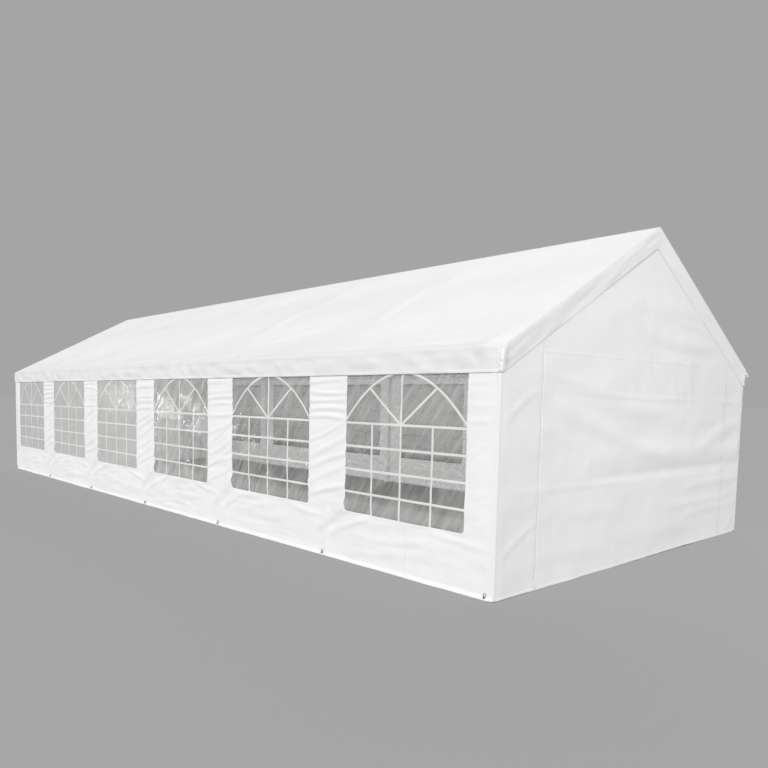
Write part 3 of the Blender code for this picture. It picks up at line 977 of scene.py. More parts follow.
def make_roof_hems(material):
    """The rolled hem right round the cover's lower edge: both eaves, and down each gable's flap."""
    bands = []
    for side in SIDES.values():
        hem_v = HEM_WIDTH / 2 if side < 0 else ROOF_V - HEM_WIDTH / 2
        ends = (-ROOF_EDGE_U, hem_v), (ROOF_EDGE_U, hem_v)
        bands.append(band(*ends, roof_at, HEM_WIDTH, HEM_T, step=ROOF_HEM_STEP))
    height = -(EAVE_V - HEM_WIDTH / 2)
    low, high = EAVE_V + HEM_CORNER_GAP, ROOF_V - EAVE_V - HEM_CORNER_GAP
    for end in ENDS.values():
        def flap(a, b, lift=0.0, end=end):
            return flap_at(end, end * a, -b, lift)
        start, stop = sorted((end * low, end * high))
        bands.append(band((start, height), (stop, height), flap, HEM_WIDTH, FLAP_HEM_T, step=ROOF_HEM_STEP))
    return bands_piece("roof_hem", bands, material)


def rounded_frame(centre, half, bottom, top, radius):
    """A closed path round a window, with its corners turned on a radius."""
    left, right = centre - half + radius, centre + half - radius
    low, high = bottom + radius, top - radius
    arcs = []
    for quarter, (x, z) in enumerate(((right, high), (left, high), (left, low), (right, low))):
        angles = math.pi * (quarter / 2 + np.arange(7) / 12)
        arcs.append(np.stack([x + radius * np.cos(angles), z + radius * np.sin(angles)], axis=1))
    path = []
    for arc, following in zip(arcs, arcs[1:] + arcs[:1]):
        path += [arc, line(arc[-1], following[0])[1:-1]]
    return np.concatenate(path)


def make_wall_trims(word, surface, material):
    """The ground hem, end hems, seam and the welded border round each window of a long wall."""
    low, high = GROUND_GAP + HEM_WIDTH / 2, WALL_TOP - HEM_END_GAP
    over_hem = low + HEM_WIDTH / 2
    edge = WALL_END - HEM_WIDTH / 2
    bands = [band((-WALL_END, low), (WALL_END, low), surface, HEM_WIDTH, GROUND_HEM_T)]
    for u in (-edge, edge):
        bands.append(band((u, over_hem), (u, high), surface, HEM_WIDTH, WALL_END_HEM_T))
    bands.append(band((SEAM_X, over_hem), (SEAM_X, SEAM_TOP_Z), surface, SEAM_WIDTH, SEAM_T))
    bottom, top = SILL_Z - BORDER_OUT, HEAD_Z + BORDER_OUT
    for centre in BAY_CENTRES:
        path = rounded_frame(centre, WINDOW_HALF + BORDER_OUT, bottom, top, BORDER_R)
        bands.append(band_along(path, surface, BORDER_WIDTH, BORDER_T, closed=True))
    return bands_piece(f"wall_hems_{word}", bands, material)


def make_gable_trims(word, surface, material):
    """The ground hem, the corner hems and the band over the door of a gable."""
    low = GROUND_GAP + HEM_WIDTH / 2
    edge = GABLE_HALF - HEM_WIDTH / 2
    bands = []
    for start, stop in ((-GABLE_HALF, -DOOR_HALF), (-DOOR_HALF, DOOR_HALF), (DOOR_HALF, GABLE_HALF)):
        ends = (start + HEM_END_GAP, low), (stop - HEM_END_GAP, low)
        bands.append(band(*ends, surface, HEM_WIDTH, HEM_T))
    for u in (-edge, edge):
        ends = (u, low + HEM_WIDTH / 2), (u, GABLE_HEM_TOP_Z)
        bands.append(band(*ends, surface, HEM_WIDTH, GABLE_END_HEM_T))
    bands.append(band((-DOOR_HALF, DOOR_TOP), (DOOR_HALF, DOOR_TOP), surface, SEAM_WIDTH, DOOR_BAND_T))
    return bands_piece(f"gable_hems_{word}", bands, material)


def make_zips(word, surface, tape_material, coil_material, slider_material):
    """Two zips, each a sewn tape with a coil down its middle, and a slider with its pull near the ground."""
    behind_flap = 0.03
    top = float(rake_z(DOOR_HALF)) - EAVE_V + behind_flap
    tapes, coils, sliders = [], [], []
    for u in (-DOOR_HALF, DOOR_HALF):
        tapes.append(band((u, 0.010), (u, top), surface, width=0.036, thickness=0.0005, lift=0.0004))
        coils.append(band((u, 0.012), (u, top), surface, width=0.0075, thickness=0.0008, lift=0.0007))
        slider = band((u, 0.055), (u, 0.075), surface, width=0.013, thickness=0.0045, lift=0.0030, step=0.01)
        pull = band((u, 0.022), (u, 0.062), surface, width=0.009, thickness=0.0016, lift=0.0078, step=0.01)
        sliders += [slider, pull]
    return [
        bands_piece(f"zip_tapes_{word}", tapes, tape_material),
        bands_piece(f"zip_coils_{word}", coils, coil_material),
        bands_piece(f"zip_sliders_{word}", sliders, slider_material),
    ]


# The steel frame

def tube_parts(stations, sides=TUBE_SIDES):
    """A solid of round sections: each station is a point on the axis and the radius there."""
    points = [Vector(point) for point, _ in stations]
    turn = (points[-1] - points[0]).normalized().to_track_quat("Z", "Y").to_matrix()
    rings = []
    for point, (_, radius) in zip(points, stations):
        for step in range(sides):
            angle = 2 * math.pi * (step + 0.5) / sides
            rings.append(point + turn @ Vector((radius * math.cos(angle), radius * math.sin(angle), 0)))
    index = np.arange(len(rings)).reshape(len(stations), sides)
    turned = np.roll(index, -1, axis=1)
    faces = np.stack([index[:-1], turned[:-1], turned[1:], index[1:]], axis=-1).reshape(-1, 4)
    caps = [index[0][::-1].tolist(), index[-1].tolist()]
    return rings, faces.tolist() + caps


def tube(start, end, radius, bevel=0.0012):
    start, end = Vector(start), Vector(end)
    step = (end - start).normalized() * bevel
    inner = radius - bevel
    return tube_parts([(start, inner), (start + step, radius), (end - step, radius), (end, inner)])


def bolt(at, direction, out):
    """A hexagon bolt with a washer, seated on a tube of radius out whose axis runs through at."""
    foot, direction = at + (out - BOLT_SUNK) * direction, Vector(direction).normalized()
    washer = tube_parts([(foot, WASHER_R), (foot + WASHER_T * direction, WASHER_R)], sides=16)
    return [washer, tube_parts([(foot + rise * direction, radius) for rise, radius in BOLT_HEAD], sides=6)]


def solid_piece(name, solids, material):
    """One piece of many solids, each given as its points and faces."""
    vertices, faces = [], []
    for points, corners in solids:
        first = len(vertices)
        vertices.extend(points)
        faces.extend([corner + first for corner in face] for face in corners)
    mesh = bpy.data.meshes.new(name)
    mesh.from_pydata([tuple(point) for point in vertices], [], faces)
    mesh.update()
    mesh.shade_smooth()
    mesh.set_sharp_from_angle(angle=math.radians(40))
    return link(name, mesh, material)


def steel_piece(name, solids, material, replaced):
    piece = solid_piece(name, solids, material)
    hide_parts(replaced)
    return piece


def which_end(index):
    """-1 or 1 for the frames at the tent's ends, and 0 for those between."""
    return {0: -1, BAYS: 1}.get(index, 0)


def sleeve_span(end):
    """How far a rail's sleeve runs each side of its frame: even on an inner frame, inwards on an end one."""
    return {0: (-SLEEVE_HALF, SLEEVE_HALF), -1: (-SLEEVE_R, END_SLEEVE), 1: (-END_SLEEVE, SLEEVE_R)}[end]


def make_truss(index, material):
    """Two rafters in the ridge, purlin and eave fittings that the rails pass through."""
    end = which_end(index)
    apex = Vector((LEG_XS[index], 0, RIDGE_AXIS_Z))
    low, high = (Vector((span, 0, 0)) for span in sleeve_span(end))
    solids = [tube(apex + low, apex + high, SLEEVE_R)]
    for side in SIDES.values():
        eave = Vector((LEG_XS[index], side * LEG_Y, EAVE_AXIS_Z))
        middle = (apex + eave) / 2
        down = (eave - apex).normalized()
        inward = Vector((0, -side, -1)).normalized()
        solids.append(tube(apex, eave, TUBE_R))
        for start, stop in (
            (apex, apex + SOCKET_LENGTH * down),
            (middle - SLEEVE_HALF * down, middle + SLEEVE_HALF * down),
            (eave - SOCKET_LENGTH * down, eave),
            (eave, eave - Vector((0, 0, SOCKET_LENGTH))),
        ):
            solids.append(tube(start, stop, SOCKET_R))
        solids += [tube(point + low, point + high, SLEEVE_R) for point in (middle, eave)]
        below = Vector((0, side * down.z, -abs(down.y)))
        for point, step in (
            (apex, SOCKET_BOLT), (middle, -SLEEVE_BOLT), (middle, SLEEVE_BOLT), (eave, -SOCKET_BOLT),
        ):
            solids += bolt(point + step * down, below, SOCKET_R)
        solids += bolt(eave - Vector((0, 0, SOCKET_BOLT)), Vector((0, -side, 0)), SOCKET_R)
        if end == 0:
            for step in (-SLEEVE_BOLT, SLEEVE_BOLT):
                solids += bolt(eave + Vector((step, 0, 0)), inward, SLEEVE_R)
    return steel_piece(f"truss_{index + 1}", solids, material, f"roof_truss_{index + 1}")


def foot_plate(x_low, x_high, y_low, y_high, holes):
    """A flat plate with cropped corners and round peg holes."""
    crop = PLATE_CROP
    outline = [
        (x_low + crop, y_low), (x_high - crop, y_low), (x_high, y_low + crop), (x_high, y_high - crop),
        (x_high - crop, y_high), (x_low + crop, y_high), (x_low, y_high - crop), (x_low, y_low + crop),
    ]
    sides = 16
    turns = [2 * math.pi * step / sides for step in range(sides)]
    circle = [(PEG_HOLE_R * math.cos(turn), PEG_HOLE_R * math.sin(turn)) for turn in turns]
    shape = bmesh.new()
    edges = []
    for loop in [outline] + [[(x + out_x, y + out_y) for out_x, out_y in circle] for x, y in holes]:
        corners = [shape.verts.new((x, y, 0.0)) for x, y in loop]
        edges += [shape.edges.new(pair) for pair in zip(corners, corners[1:] + corners[:1])]
    bmesh.ops.triangle_fill(shape, use_beauty=True, use_dissolve=False, edges=edges)
    grown = bmesh.ops.extrude_face_region(shape, geom=list(shape.faces))
    lifted = [part for part in grown["geom"] if isinstance(part, bmesh.types.BMVert)]
    bmesh.ops.translate(shape, vec=(0, 0, PLATE_T), verts=lifted)
    bmesh.ops.recalc_face_normals(shape, faces=shape.faces)
    shape.verts.index_update()
    points = [vert.co.copy() for vert in shape.verts]
    faces = [[vert.index for vert in face.verts] for face in shape.faces]
    shape.free()
    return points, faces


def make_leg(word, side, index, material):
    """A leg in its foot, with the plate turned inwards and a sleeve for the ground rail."""
    x, y = LEG_XS[index], side * LEG_Y
    end = which_end(index)
    low_x, high_x = sleeve_span(end)
    outer, inner = y + side * SLEEVE_R, y + side * (SLEEVE_R - PLATE)
    plate_low = {0: -PLATE / 2, -1: -SLEEVE_R, 1: SLEEVE_R - PLATE}[end] + x
    hole_y = inner + side * PEG_HOLE_INSET
    holes = [(plate_low + PEG_HOLE_INSET, hole_y), (plate_low + PLATE - PEG_HOLE_INSET, hole_y)]
    solids = [
        tube((x, y, PLATE_T / 2), (x, y, LEG_TOP_Z), TUBE_R),
        tube((x, y, PLATE_T / 2), (x, y, SOCKET_LENGTH), SOCKET_R),
        tube((x + low_x, y, GROUND_AXIS_Z), (x + high_x, y, GROUND_AXIS_Z), SLEEVE_R),
        foot_plate(plate_low, plate_low + PLATE, min(inner, outer), max(inner, outer), holes),
    ]
    solids += bolt(Vector((x, y, SOCKET_BOLT)), Vector((0, -side, 0)), SOCKET_R)
    return steel_piece(f"post_{word}_{index + 1}", solids, material, f"leg_{word}_{index + 1}")


def make_rails(material):
    """Seven rails the length of the tent, each of six tubes that meet inside the sleeves."""
    lines = {"ridge_rail": (0, RIDGE_AXIS_Z)}
    for word, side in SIDES.items():
        lines[f"purlin_{word}"] = (side * LEG_Y / 2, (RIDGE_AXIS_Z + EAVE_AXIS_Z) / 2)
        lines[f"eave_rail_{word}"] = (side * LEG_Y, EAVE_AXIS_Z)
        lines[f"ground_rail_{word}"] = (side * LEG_Y, GROUND_AXIS_Z)
    joins = [-rail_high.x, *LEG_XS[1:-1], rail_high.x]
    for name, (y, z) in lines.items():
        solids = [tube((start, y, z), (stop, y, z), TUBE_R) for start, stop in zip(joins, joins[1:])]
        steel_piece(f"{name}_tubes", solids, material, name)


# Corner patches and ears, elastic loops and ground ties

PATCH_LEFT, PATCH_RIGHT, PATCH_TOP, PATCH_BOTTOM = -0.055, 0.060, 0.004, 0.010
PATCH_LIFT, PATCH_LEAST, PATCH_UNEVEN = 0.0012, 0.0008, 0.0042
EAR_REACH, EAR_INSET = 0.080, 0.030
EAR_STAND, EAR_CURL = 0.006, 0.005
EAR_LOW, EAR_HIGH = -0.050, 0.004
EAR_LOW_RISE, EAR_HIGH_FALL = 0.004, 0.052
LOOP_R, LOOP_CORD_R = 0.012, 0.0030
LOOP_OUT, LOOP_IN, LOOP_DROP = 0.022, 0.004, 0.060
TIE_LOOP_R, TIE_CORD_R = 0.013, 0.0022
TIE_LOOP_BACK, TIE_LOOP_UP = 0.006, 0.016
TIE_BALL_R, TIE_BALL_LEAN = 0.010, 1.45
TIE_Z, TIE_OUT, TIE_INWARD = 0.030, 0.008, 0.05


def corner_patch_at(end, side, across, w, lift):
    """Places round an eave corner: across runs from the valance, below nought, over to the gable's flap."""
    v = np.interp(across, (0.0, FLAP_RISE, 0.10), (EAVE_V, SLOPE_START_V, SLOPE_START_V + 0.09))
    from_hem = EAVE_V - w
    turned_v, turned_hem = (v, from_hem) if side < 0 else (ROOF_V - v, ROOF_V - from_hem)
    valance = roof_at(end * (ROOF_EDGE_U + np.minimum(across, 0.0)), turned_hem, lift)
    return np.where((across < 0)[..., None], valance, flap_at(end, turned_v, w, lift))


def make_corner_patches(material):
    """The second thickness sewn round each eave corner, crumpled small by its elastic loop."""
    across, w = np.meshgrid(np.linspace(PATCH_LEFT, PATCH_RIGHT, 31),
                            np.linspace(PATCH_TOP, EAVE_V - PATCH_BOTTOM, 43))
    within = ramp(np.minimum(across - PATCH_LEFT, PATCH_RIGHT - across), 0.0, 0.022)
    within = within * ramp(w, PATCH_TOP, 0.03) * ramp(w, EAVE_V - PATCH_BOTTOM, EAVE_V - 0.05)
    grids = []
    for number, (end, side) in enumerate([(a, b) for a in ENDS.values() for b in SIDES.values()]):
        small = PATCH_LEAST + PATCH_UNEVEN * rumple(across + number, w, (0.030, 0.026), seed=301 + number)
        small = small * ramp(across, 0.002, -0.015)
        places = corner_patch_at(end, side, across, w, PATCH_LIFT + np.clip(small, 0.0, None) * within)
        grids.append((places, across + number, w + RIDGE_V, end * side < 0))
    patches = link("corner_patches", mesh_of_grids("corner_patches", grids), material)
    thicken(patches, SHEET_T)
    return patches


def make_corner_ears(material):
    """The pointed ear that stands out past the back wall at each back eave corner."""
    s, t = np.meshgrid(np.linspace(0, 1, 15), np.linspace(0, 1, 13))
    side = SIDES["back"]
    low = EAVE_FOLD_Z + EAR_LOW + EAR_LOW_RISE * s
    high = EAVE_FOLD_Z + EAR_HIGH - EAR_HIGH_FALL * s
    y = side * (EAVE_Y - EAR_INSET + EAR_REACH * s)
    grids = []
    for number, end in enumerate(ENDS.values()):
        curl = EAR_CURL * rumple(0.09 * s + number, 0.09 * t, (0.035, 0.030), seed=341 + number, layers=2)
        x = end * (ROOF_END + RAKE_OVERHANG + EAR_STAND + 0.006 * s * s + curl * (0.3 + 0.7 * s))
        places = np.stack([x, y, low + t * (high - low)], axis=-1)
        grids.append((places, 0.08 * s + number, 0.06 * t + RIDGE_V, end * side < 0))
    ears = link("corner_ears", mesh_of_grids("corner_ears", grids), material)
    thicken(ears, 2 * SHEET_T)
    return ears


def ring(centre, across, up, radius, cord_r, turns=20, sides=8):
    """A ring of cord round a centre, in the plane of the directions across and up."""
    centre, across, up = Vector(centre), Vector(across).normalized(), Vector(up).normalized()
    side_on = across.cross(up)
    points = []
    for turn in range(turns):
        out = math.cos(2 * math.pi * turn / turns) * across + math.sin(2 * math.pi * turn / turns) * up
        for step in range(sides):
            lean = 2 * math.pi * step / sides
            from_centre = (radius + cord_r * math.cos(lean)) * out + cord_r * math.sin(lean) * side_on
            points.append(centre + from_centre)
    index = np.arange(turns * sides).reshape(turns, sides)
    ahead, beside = np.roll(index, -1, axis=0), np.roll(index, -1, axis=1)
    faces = np.stack([index, ahead, np.roll(ahead, -1, axis=1), beside], axis=-1).reshape(-1, 4)
    return points, faces.tolist()


def make_corner_loops(material):
    """A small elastic loop at each eave corner."""
    solids = []
    for end in ENDS.values():
        for side in SIDES.values():
            out = ROOF_END + RAKE_OVERHANG + LOOP_OUT
            at = (end * out, side * (EAVE_Y - LOOP_IN), EAVE_FOLD_Z - LOOP_DROP)
            solids.append(ring(at, (0.25, 0.6 * side, 0.0), (0.1 * end, 0, 1), LOOP_R, LOOP_CORD_R))
    return solid_piece("corner_loops", solids, material)


def make_ground_ties(word, side, material):
    """At each foot, a ball toggle on a short loop that passes through the wall's hem."""
    leans = np.linspace(-TIE_BALL_LEAN, TIE_BALL_LEAN, 9)
    ball = [(TIE_BALL_R * math.cos(lean), TIE_BALL_R * math.sin(lean)) for lean in leans]
    y = side * (WALL_Y + GROUND_FLARE + TIE_OUT)
    solids = []
    for x in LEG_XS:
        at = Vector((x - TIE_INWARD * x / HALF_LENGTH, y, TIE_Z))
        solids.append(tube_parts([(at + Vector((0, 0, rise)), radius) for radius, rise in ball], sides=14))
        loop_at = at - Vector((0, side * TIE_LOOP_BACK, -TIE_LOOP_UP))
        solids.append(ring(loop_at, (1, 0, 0), (0, 0, 1), TIE_LOOP_R, TIE_CORD_R, turns=16, sides=6))
    return solid_piece(f"ground_ties_{word}", solids, material)


# Finishes

def feed(tree, node, inputs):
    """Sets the node's inputs, or joins them to other nodes' outputs."""
    for name, value in inputs.items():
        if isinstance(value, bpy.types.NodeSocket):
            tree.links.new(value, node.inputs[name])
        else:
            node.inputs[name].default_value = value


def add(tree, kind, inputs=None, **settings):
    made = tree.nodes.new(kind)
    for name, value in settings.items():
        setattr(made, name, value)
    feed(tree, made, inputs or {})
    return made


def maths(tree, operation, first, second=0.0):
    return add(tree, "ShaderNodeMath", {0: first, 1: second}, operation=operation).outputs[0]


def between(tree, fac, low, high):
    """A number that goes from low to high with fac."""
    return maths(tree, "ADD", maths(tree, "MULTIPLY", fac, high - low), low)


def eased(tree, value, start, stop, low=0.0, high=1.0, kind="SMOOTHSTEP"):
    """A number that goes from low to high as the value goes from start to stop."""
    spans = {"Value": value, "From Min": start, "From Max": stop, "To Min": low, "To Max": high}
    return add(tree, "ShaderNodeMapRange", spans, interpolation_type=kind).outputs["Result"]


def blend_colours(tree, fac, low, high):
    """A colour that goes from low to high with fac, where each is a colour or another node's output."""
    low, high = ((*colour, 1) if isinstance(colour, tuple) else colour for colour in (low, high))
    return add(tree, "ShaderNodeMix", {0: fac, 6: low, 7: high}, data_type="RGBA").outputs[2]


def noise(tree, inputs, **settings):
    return add(tree, "ShaderNodeTexNoise", inputs, **settings).outputs["Fac"]


def bump(tree, height, depth, strength=1.0, over=None):
    inputs = {"Height": height, "Strength": strength, "Distance": depth}
    if over is not None:
        inputs["Normal"] = over
    return add(tree, "ShaderNodeBump", inputs).outputs["Normal"]


def flat_place(tree):
    return add(tree, "ShaderNodeUVMap", uv_map="flat").outputs["UV"]


def object_place(tree):
    return add(tree, "ShaderNodeTexCoord").outputs["Object"]


def apart(tree, vector):
    return add(tree, "ShaderNodeSeparateXYZ", {"Vector": vector}).outputs


def new_group(name, inputs, output):
    """A node group with number inputs at their usual values and one number output, with its two ends."""
    group = bpy.data.node_groups.new(name, "ShaderNodeTree")
    for word, value in inputs.items():
        group.interface.new_socket(word, in_out="INPUT", socket_type="NodeSocketFloat").default_value = value
    group.interface.new_socket(output, in_out="OUTPUT", socket_type="NodeSocketFloat")
    given = group.nodes.new("NodeGroupInput").outputs
    return group, given, group.nodes.new("NodeGroupOutput").inputs[output]


def make_weave_group():
    """The crossed tapes of coated tarpaulin, seen as low squares through the coating."""
    group, given, height = new_group("tape_weave", {"Tapes Per Metre": 380.0}, "Height")
    across = apart(group, flat_place(group))
    waves = []
    for axis in ("X", "Y"):
        turns = maths(group, "MULTIPLY", across[axis], given["Tapes Per Metre"])
        waves.append(maths(group, "SINE", maths(group, "MULTIPLY", turns, math.pi)))
    group.links.new(maths(group, "MULTIPLY_ADD", maths(group, "MULTIPLY", *waves), 0.5), height)
    return group


def make_crumple_group():
    """Small sharp creases from folding, between broad smooth ones."""
    group, given, height = new_group("packing_creases", {"Size": 0.09, "Sharpness": 2.0}, "Height")
    place = flat_place(group)
    often = maths(group, "DIVIDE", 1.0, given["Size"])
    broad = noise(group, {"Vector": place, "Scale": often, "Detail": 3.0, "Roughness": 0.55})
    from_crest = maths(group, "ABSOLUTE", maths(group, "SUBTRACT", broad, 0.5))
    slope = maths(group, "SUBTRACT", 1.0, maths(group, "MULTIPLY", from_crest, 4.0))
    crest = maths(group, "POWER", slope, given["Sharpness"])
    finer = maths(group, "MULTIPLY", often, 3.1)
    small = noise(group, {"Vector": place, "Scale": finer, "Detail": 2.0, "Roughness": 0.5})
    group.links.new(maths(group, "ADD", crest, maths(group, "MULTIPLY", small, 0.45)), height)
    return group


def make_cloud_group():
    """A slow change over the sheet, from 0 to 1, for its shade and its shine."""
    group, given, fac = new_group("slow_change", {"Per Metre": 1.6, "Seed": 0.0}, "Fac")
    drift = noise(group, {
        "Vector": object_place(group), "Scale": given["Per Metre"], "W": given["Seed"],
        "Detail": 4.0, "Roughness": 0.6,
    }, noise_dimensions="4D")
    group.links.new(eased(group, drift, 0.32, 0.68, kind="LINEAR"), fac)
    return group


def make_fold_shade_group():
    """Where painted shade darkens the roof sheet: a little over the eave valances, and most along every fold,
    where it dims the folds' highlights.
    """
    group, _, fac = new_group("fold_painted_shade", {}, "Fac")
    place = apart(group, flat_place(group))
    from_hem = maths(group, "MINIMUM", place["Y"], maths(group, "SUBTRACT", ROOF_V, place["Y"]))
    from_eave = maths(group, "ABSOLUTE", maths(group, "SUBTRACT", from_hem, EAVE_MIDDLE_V))
    past_end = maths(group, "SUBTRACT", maths(group, "ABSOLUTE", place["X"]), ROOF_EDGE_U - 0.006)
    from_end = maths(group, "ABSOLUTE", past_end)
    valance = eased(group, from_hem, EAVE_V + 0.03, EAVE_V - 0.02, high=0.20)
    eave = eased(group, from_eave, 0.075, 0.0, high=0.62)
    rake = eased(group, from_end, 0.017, 0.003)
    group.links.new(maths(group, "MAXIMUM", maths(group, "ADD", valance, eave), rake), fac)
    return group


def make_corner_shade_group():
    """Where the walls turn round the tent's four upright corners, from 0 to 1: where painted shade dims the
    corners' highlight.
    """
    group, _, fac = new_group("corner_painted_shade", {}, "Fac")
    place = apart(group, object_place(group))
    marks = []
    for axis, edge, full in (("X", WALL_END, 0.004), ("Y", GABLE_HALF, 0.006)):
        marks.append(eased(group, maths(group, "ABSOLUTE", place[axis]), edge - 0.016, edge - full))
    group.links.new(maths(group, "MULTIPLY", *marks), fac)
    return group


def use(tree, group, **values):
    """The one output of a group, with some of its inputs set."""
    made = add(tree, "ShaderNodeGroup", node_tree=group)
    feed(tree, made, {name.replace("_", " "): value for name, value in values.items()})
    return made.outputs[0]


def drifting(name, groups, per_metre, seed, colours):
    """A material with a slow change in it, and the colour that this change gives."""
    material = bpy.data.materials.new(name)
    material.use_nodes = True
    tree = material.node_tree
    cloud = use(tree, groups["cloud"], Per_Metre=per_metre, Seed=seed)
    return material, tree, cloud, blend_colours(tree, cloud, *colours)


def finish(material, **inputs):
    """Sets or joins the inputs of the material's own shader."""
    shader = material.node_tree.nodes["Principled BSDF"]
    feed(material.node_tree, shader, {name.replace("_", " "): value for name, value in inputs.items()})
    return material


def make_tarpaulin(name, groups, seed, shade_mask):
    """White coated tarpaulin: a satin skin over a flat weave, creased from its bag."""
    material, tree, cloud, white = drifting(name, groups, per_metre=1.4, seed=seed, colours=TARPAULIN)
    creases = use(tree, groups["crumple"], Size=0.085, Sharpness=2.4)
    patchy = use(tree, groups["cloud"], Per_Metre=2.6, Seed=seed + 20.0)
    creases = maths(tree, "MULTIPLY", creases, between(tree, patchy, 0.25, 1.0))
    creased_skin = bump(tree, creases, depth=0.0006)
    return finish(
        # Painted shade: the colour darkens towards a grey where the shade mask is high.
        material, Base_Color=blend_colours(tree, use(tree, groups[shade_mask]), white, PAINTED_SHADE),
        Roughness=between(tree, cloud, 0.50, 0.40), Specular_IOR_Level=0.32,
        Normal=bump(tree, use(tree, groups["weave"]), depth=0.00016, strength=0.5, over=creased_skin),
    )


def make_vinyl(name, groups, colours):
    """Welded vinyl: the glazing bars, hems and window borders."""
    material, tree, cloud, white = drifting(name, groups, per_metre=3.0, seed=7.0, colours=colours)
    creases = use(tree, groups["crumple"], Size=0.05, Sharpness=1.6)
    return finish(
        # Painted shade: the colour darkens towards a grey down the tent's upright corners.
        material, Base_Color=blend_colours(tree, use(tree, groups["corner"]), white, PAINTED_SHADE),
        Roughness=between(tree, cloud, 0.34, 0.46), Normal=bump(tree, creases, depth=0.0006, strength=0.5),
    )


def make_coated_steel(groups):
    """Powder-coated steel tube, with the coating's faint orange peel."""
    made = drifting("coated_steel", groups, per_metre=4.0, seed=11.0, colours=COATED_STEEL)
    material, tree, cloud, colour = made
    peel = noise(tree, {"Vector": object_place(tree), "Scale": 260.0, "Detail": 2.0})
    skin = bump(tree, peel, depth=0.0004, strength=0.25)
    return finish(material, Base_Color=colour, Roughness=between(tree, cloud, 0.28, 0.40), Normal=skin)


def make_tie_rubber(groups):
    """The dark elastic and balls of the ground ties, dulled by dust."""
    made = drifting("tie_rubber", groups, per_metre=40.0, seed=17.0, colours=RUBBER)
    material, tree, cloud, colour = made
    return finish(material, Base_Color=colour, Roughness=between(tree, cloud, 0.45, 0.65))


def make_zip_coil(groups):
    """The zip's coil: turns of white nylon across its length."""
    coils_per_metre = 420
    made = drifting("zip_coil", groups, per_metre=5.0, seed=13.0, colours=NYLON)
    material, tree, _, colour = made
    along = maths(tree, "MULTIPLY", apart(tree, flat_place(tree))["Y"], 2 * math.pi * coils_per_metre)
    turns = bump(tree, maths(tree, "SINE", along), depth=0.0006, strength=0.8)
    return finish(material, Base_Color=colour, Roughness=0.38, Normal=turns)


def slanting_noise(tree, width, length, detail):
    """Noise drawn out along the film's creases, which rise to the right."""
    slant = add(tree, "ShaderNodeMapping", {
        "Vector": flat_place(tree), "Rotation": (0.0, 0.0, math.radians(-34)), "Scale": (width, length, 1.0),
    }, vector_type="TEXTURE").outputs["Vector"]
    shape = {"Scale": 1.0, "Detail": detail, "Roughness": 0.55, "Distortion": 0.4}
    return noise(tree, {"Vector": slant, **shape})


def film_outside(tree, cloud, from_sill):
    """The film's outer face: how white it is, and how far haze, scuffs and splashes veil it. The veil that
    thickens edge-on is a painted reflection.
    """
    broad = slanting_noise(tree, width=0.11, length=0.50, detail=3.0)
    haze = eased(tree, broad, 0.42, 0.66, kind="LINEAR")
    fine = slanting_noise(tree, width=0.032, length=0.36, detail=4.0)
    scuffs = eased(tree, fine, 0.44, 0.80, kind="LINEAR")
    scuffed = maths(tree, "MULTIPLY", scuffs, between(tree, cloud, 0.25, 0.75))
    # Painted reflection: the film grows whiter and more opaque as it is seen edge-on.
    edge_on = add(tree, "ShaderNodeLayerWeight", {"Blend": 0.28}).outputs["Facing"]
    veil = eased(tree, edge_on, 0.30, 0.41, 0.25, 0.86)
    marked = maths(tree, "ADD", maths(tree, "MULTIPLY", haze, 0.22), maths(tree, "MULTIPLY", scuffed, 0.34))
    marked = maths(tree, "ADD", marked, eased(tree, from_sill, 0.28, 0.04, high=0.20))
    most = maths(tree, "MINIMUM", maths(tree, "ADD", veil, marked), 0.97)
    return blend_colours(tree, scuffed, *FILM_OUTSIDE), most


def film_inside(tree, cloud, from_sill):
    """The film's inner face: painted dark as shade, most of all along the sill, where it is a painted shadow.
    """
    wavering = maths(tree, "ADD", from_sill, between(tree, cloud, -0.03, 0.03))
    at_sill = eased(tree, wavering, 0.12, 0.05)
    lower_half = eased(tree, wavering, 0.80, 0.25, high=0.42)
    darker = maths(tree, "MAXIMUM", at_sill, lower_half)
    return blend_colours(tree, darker, *FILM_INSIDE_SHADE), between(tree, darker, 0.45, 0.92)


def make_clear_film(groups):
    """Clear film: glossy, with haze and fine slanting scuffs, and more veiled as it is seen from the side,
    which is a painted reflection.

    Only the face towards the eye veils, so each film shows one of its two faces. The inner face is painted
    dark as shade.
    """
    material = bpy.data.materials.new("clear_film")
    material.use_nodes = True
    tree = material.node_tree
    cloud = use(tree, groups["cloud"], Per_Metre=1.9, Seed=3.0)
    from_sill = maths(tree, "SUBTRACT", apart(tree, flat_place(tree))["Y"], SILL_Z)
    outer_white, outer_veil = film_outside(tree, cloud, from_sill)
    inner_shade, inner_veil = film_inside(tree, cloud, from_sill)

    surface = add(tree, "ShaderNodeNewGeometry").outputs
    away = surface["Backfacing"]
    facing, place = apart(tree, surface["True Normal"])["Y"], apart(tree, surface["Position"])["Y"]
    sign = maths(tree, "SUBTRACT", 1.0, maths(tree, "MULTIPLY", away, 2.0))
    outward = maths(tree, "MULTIPLY", maths(tree, "MULTIPLY", facing, place), sign)
    inner = maths(tree, "LESS_THAN", outward, 0.0)
    veil = add(tree, "ShaderNodeMix", {"Factor": inner, "A": outer_veil, "B": inner_veil}).outputs["Result"]
    ripple = slanting_noise(tree, width=0.021, length=0.34, detail=2.0)
    return finish(
        material, Base_Color=blend_colours(tree, inner, outer_white, inner_shade),
        Alpha=maths(tree, "MULTIPLY", veil, maths(tree, "SUBTRACT", 1.0, away)),
        Roughness=between(tree, cloud, 0.04, 0.09), IOR=1.5, Normal=bump(tree, ripple, depth=0.0044),
    )


# Putting the tent together

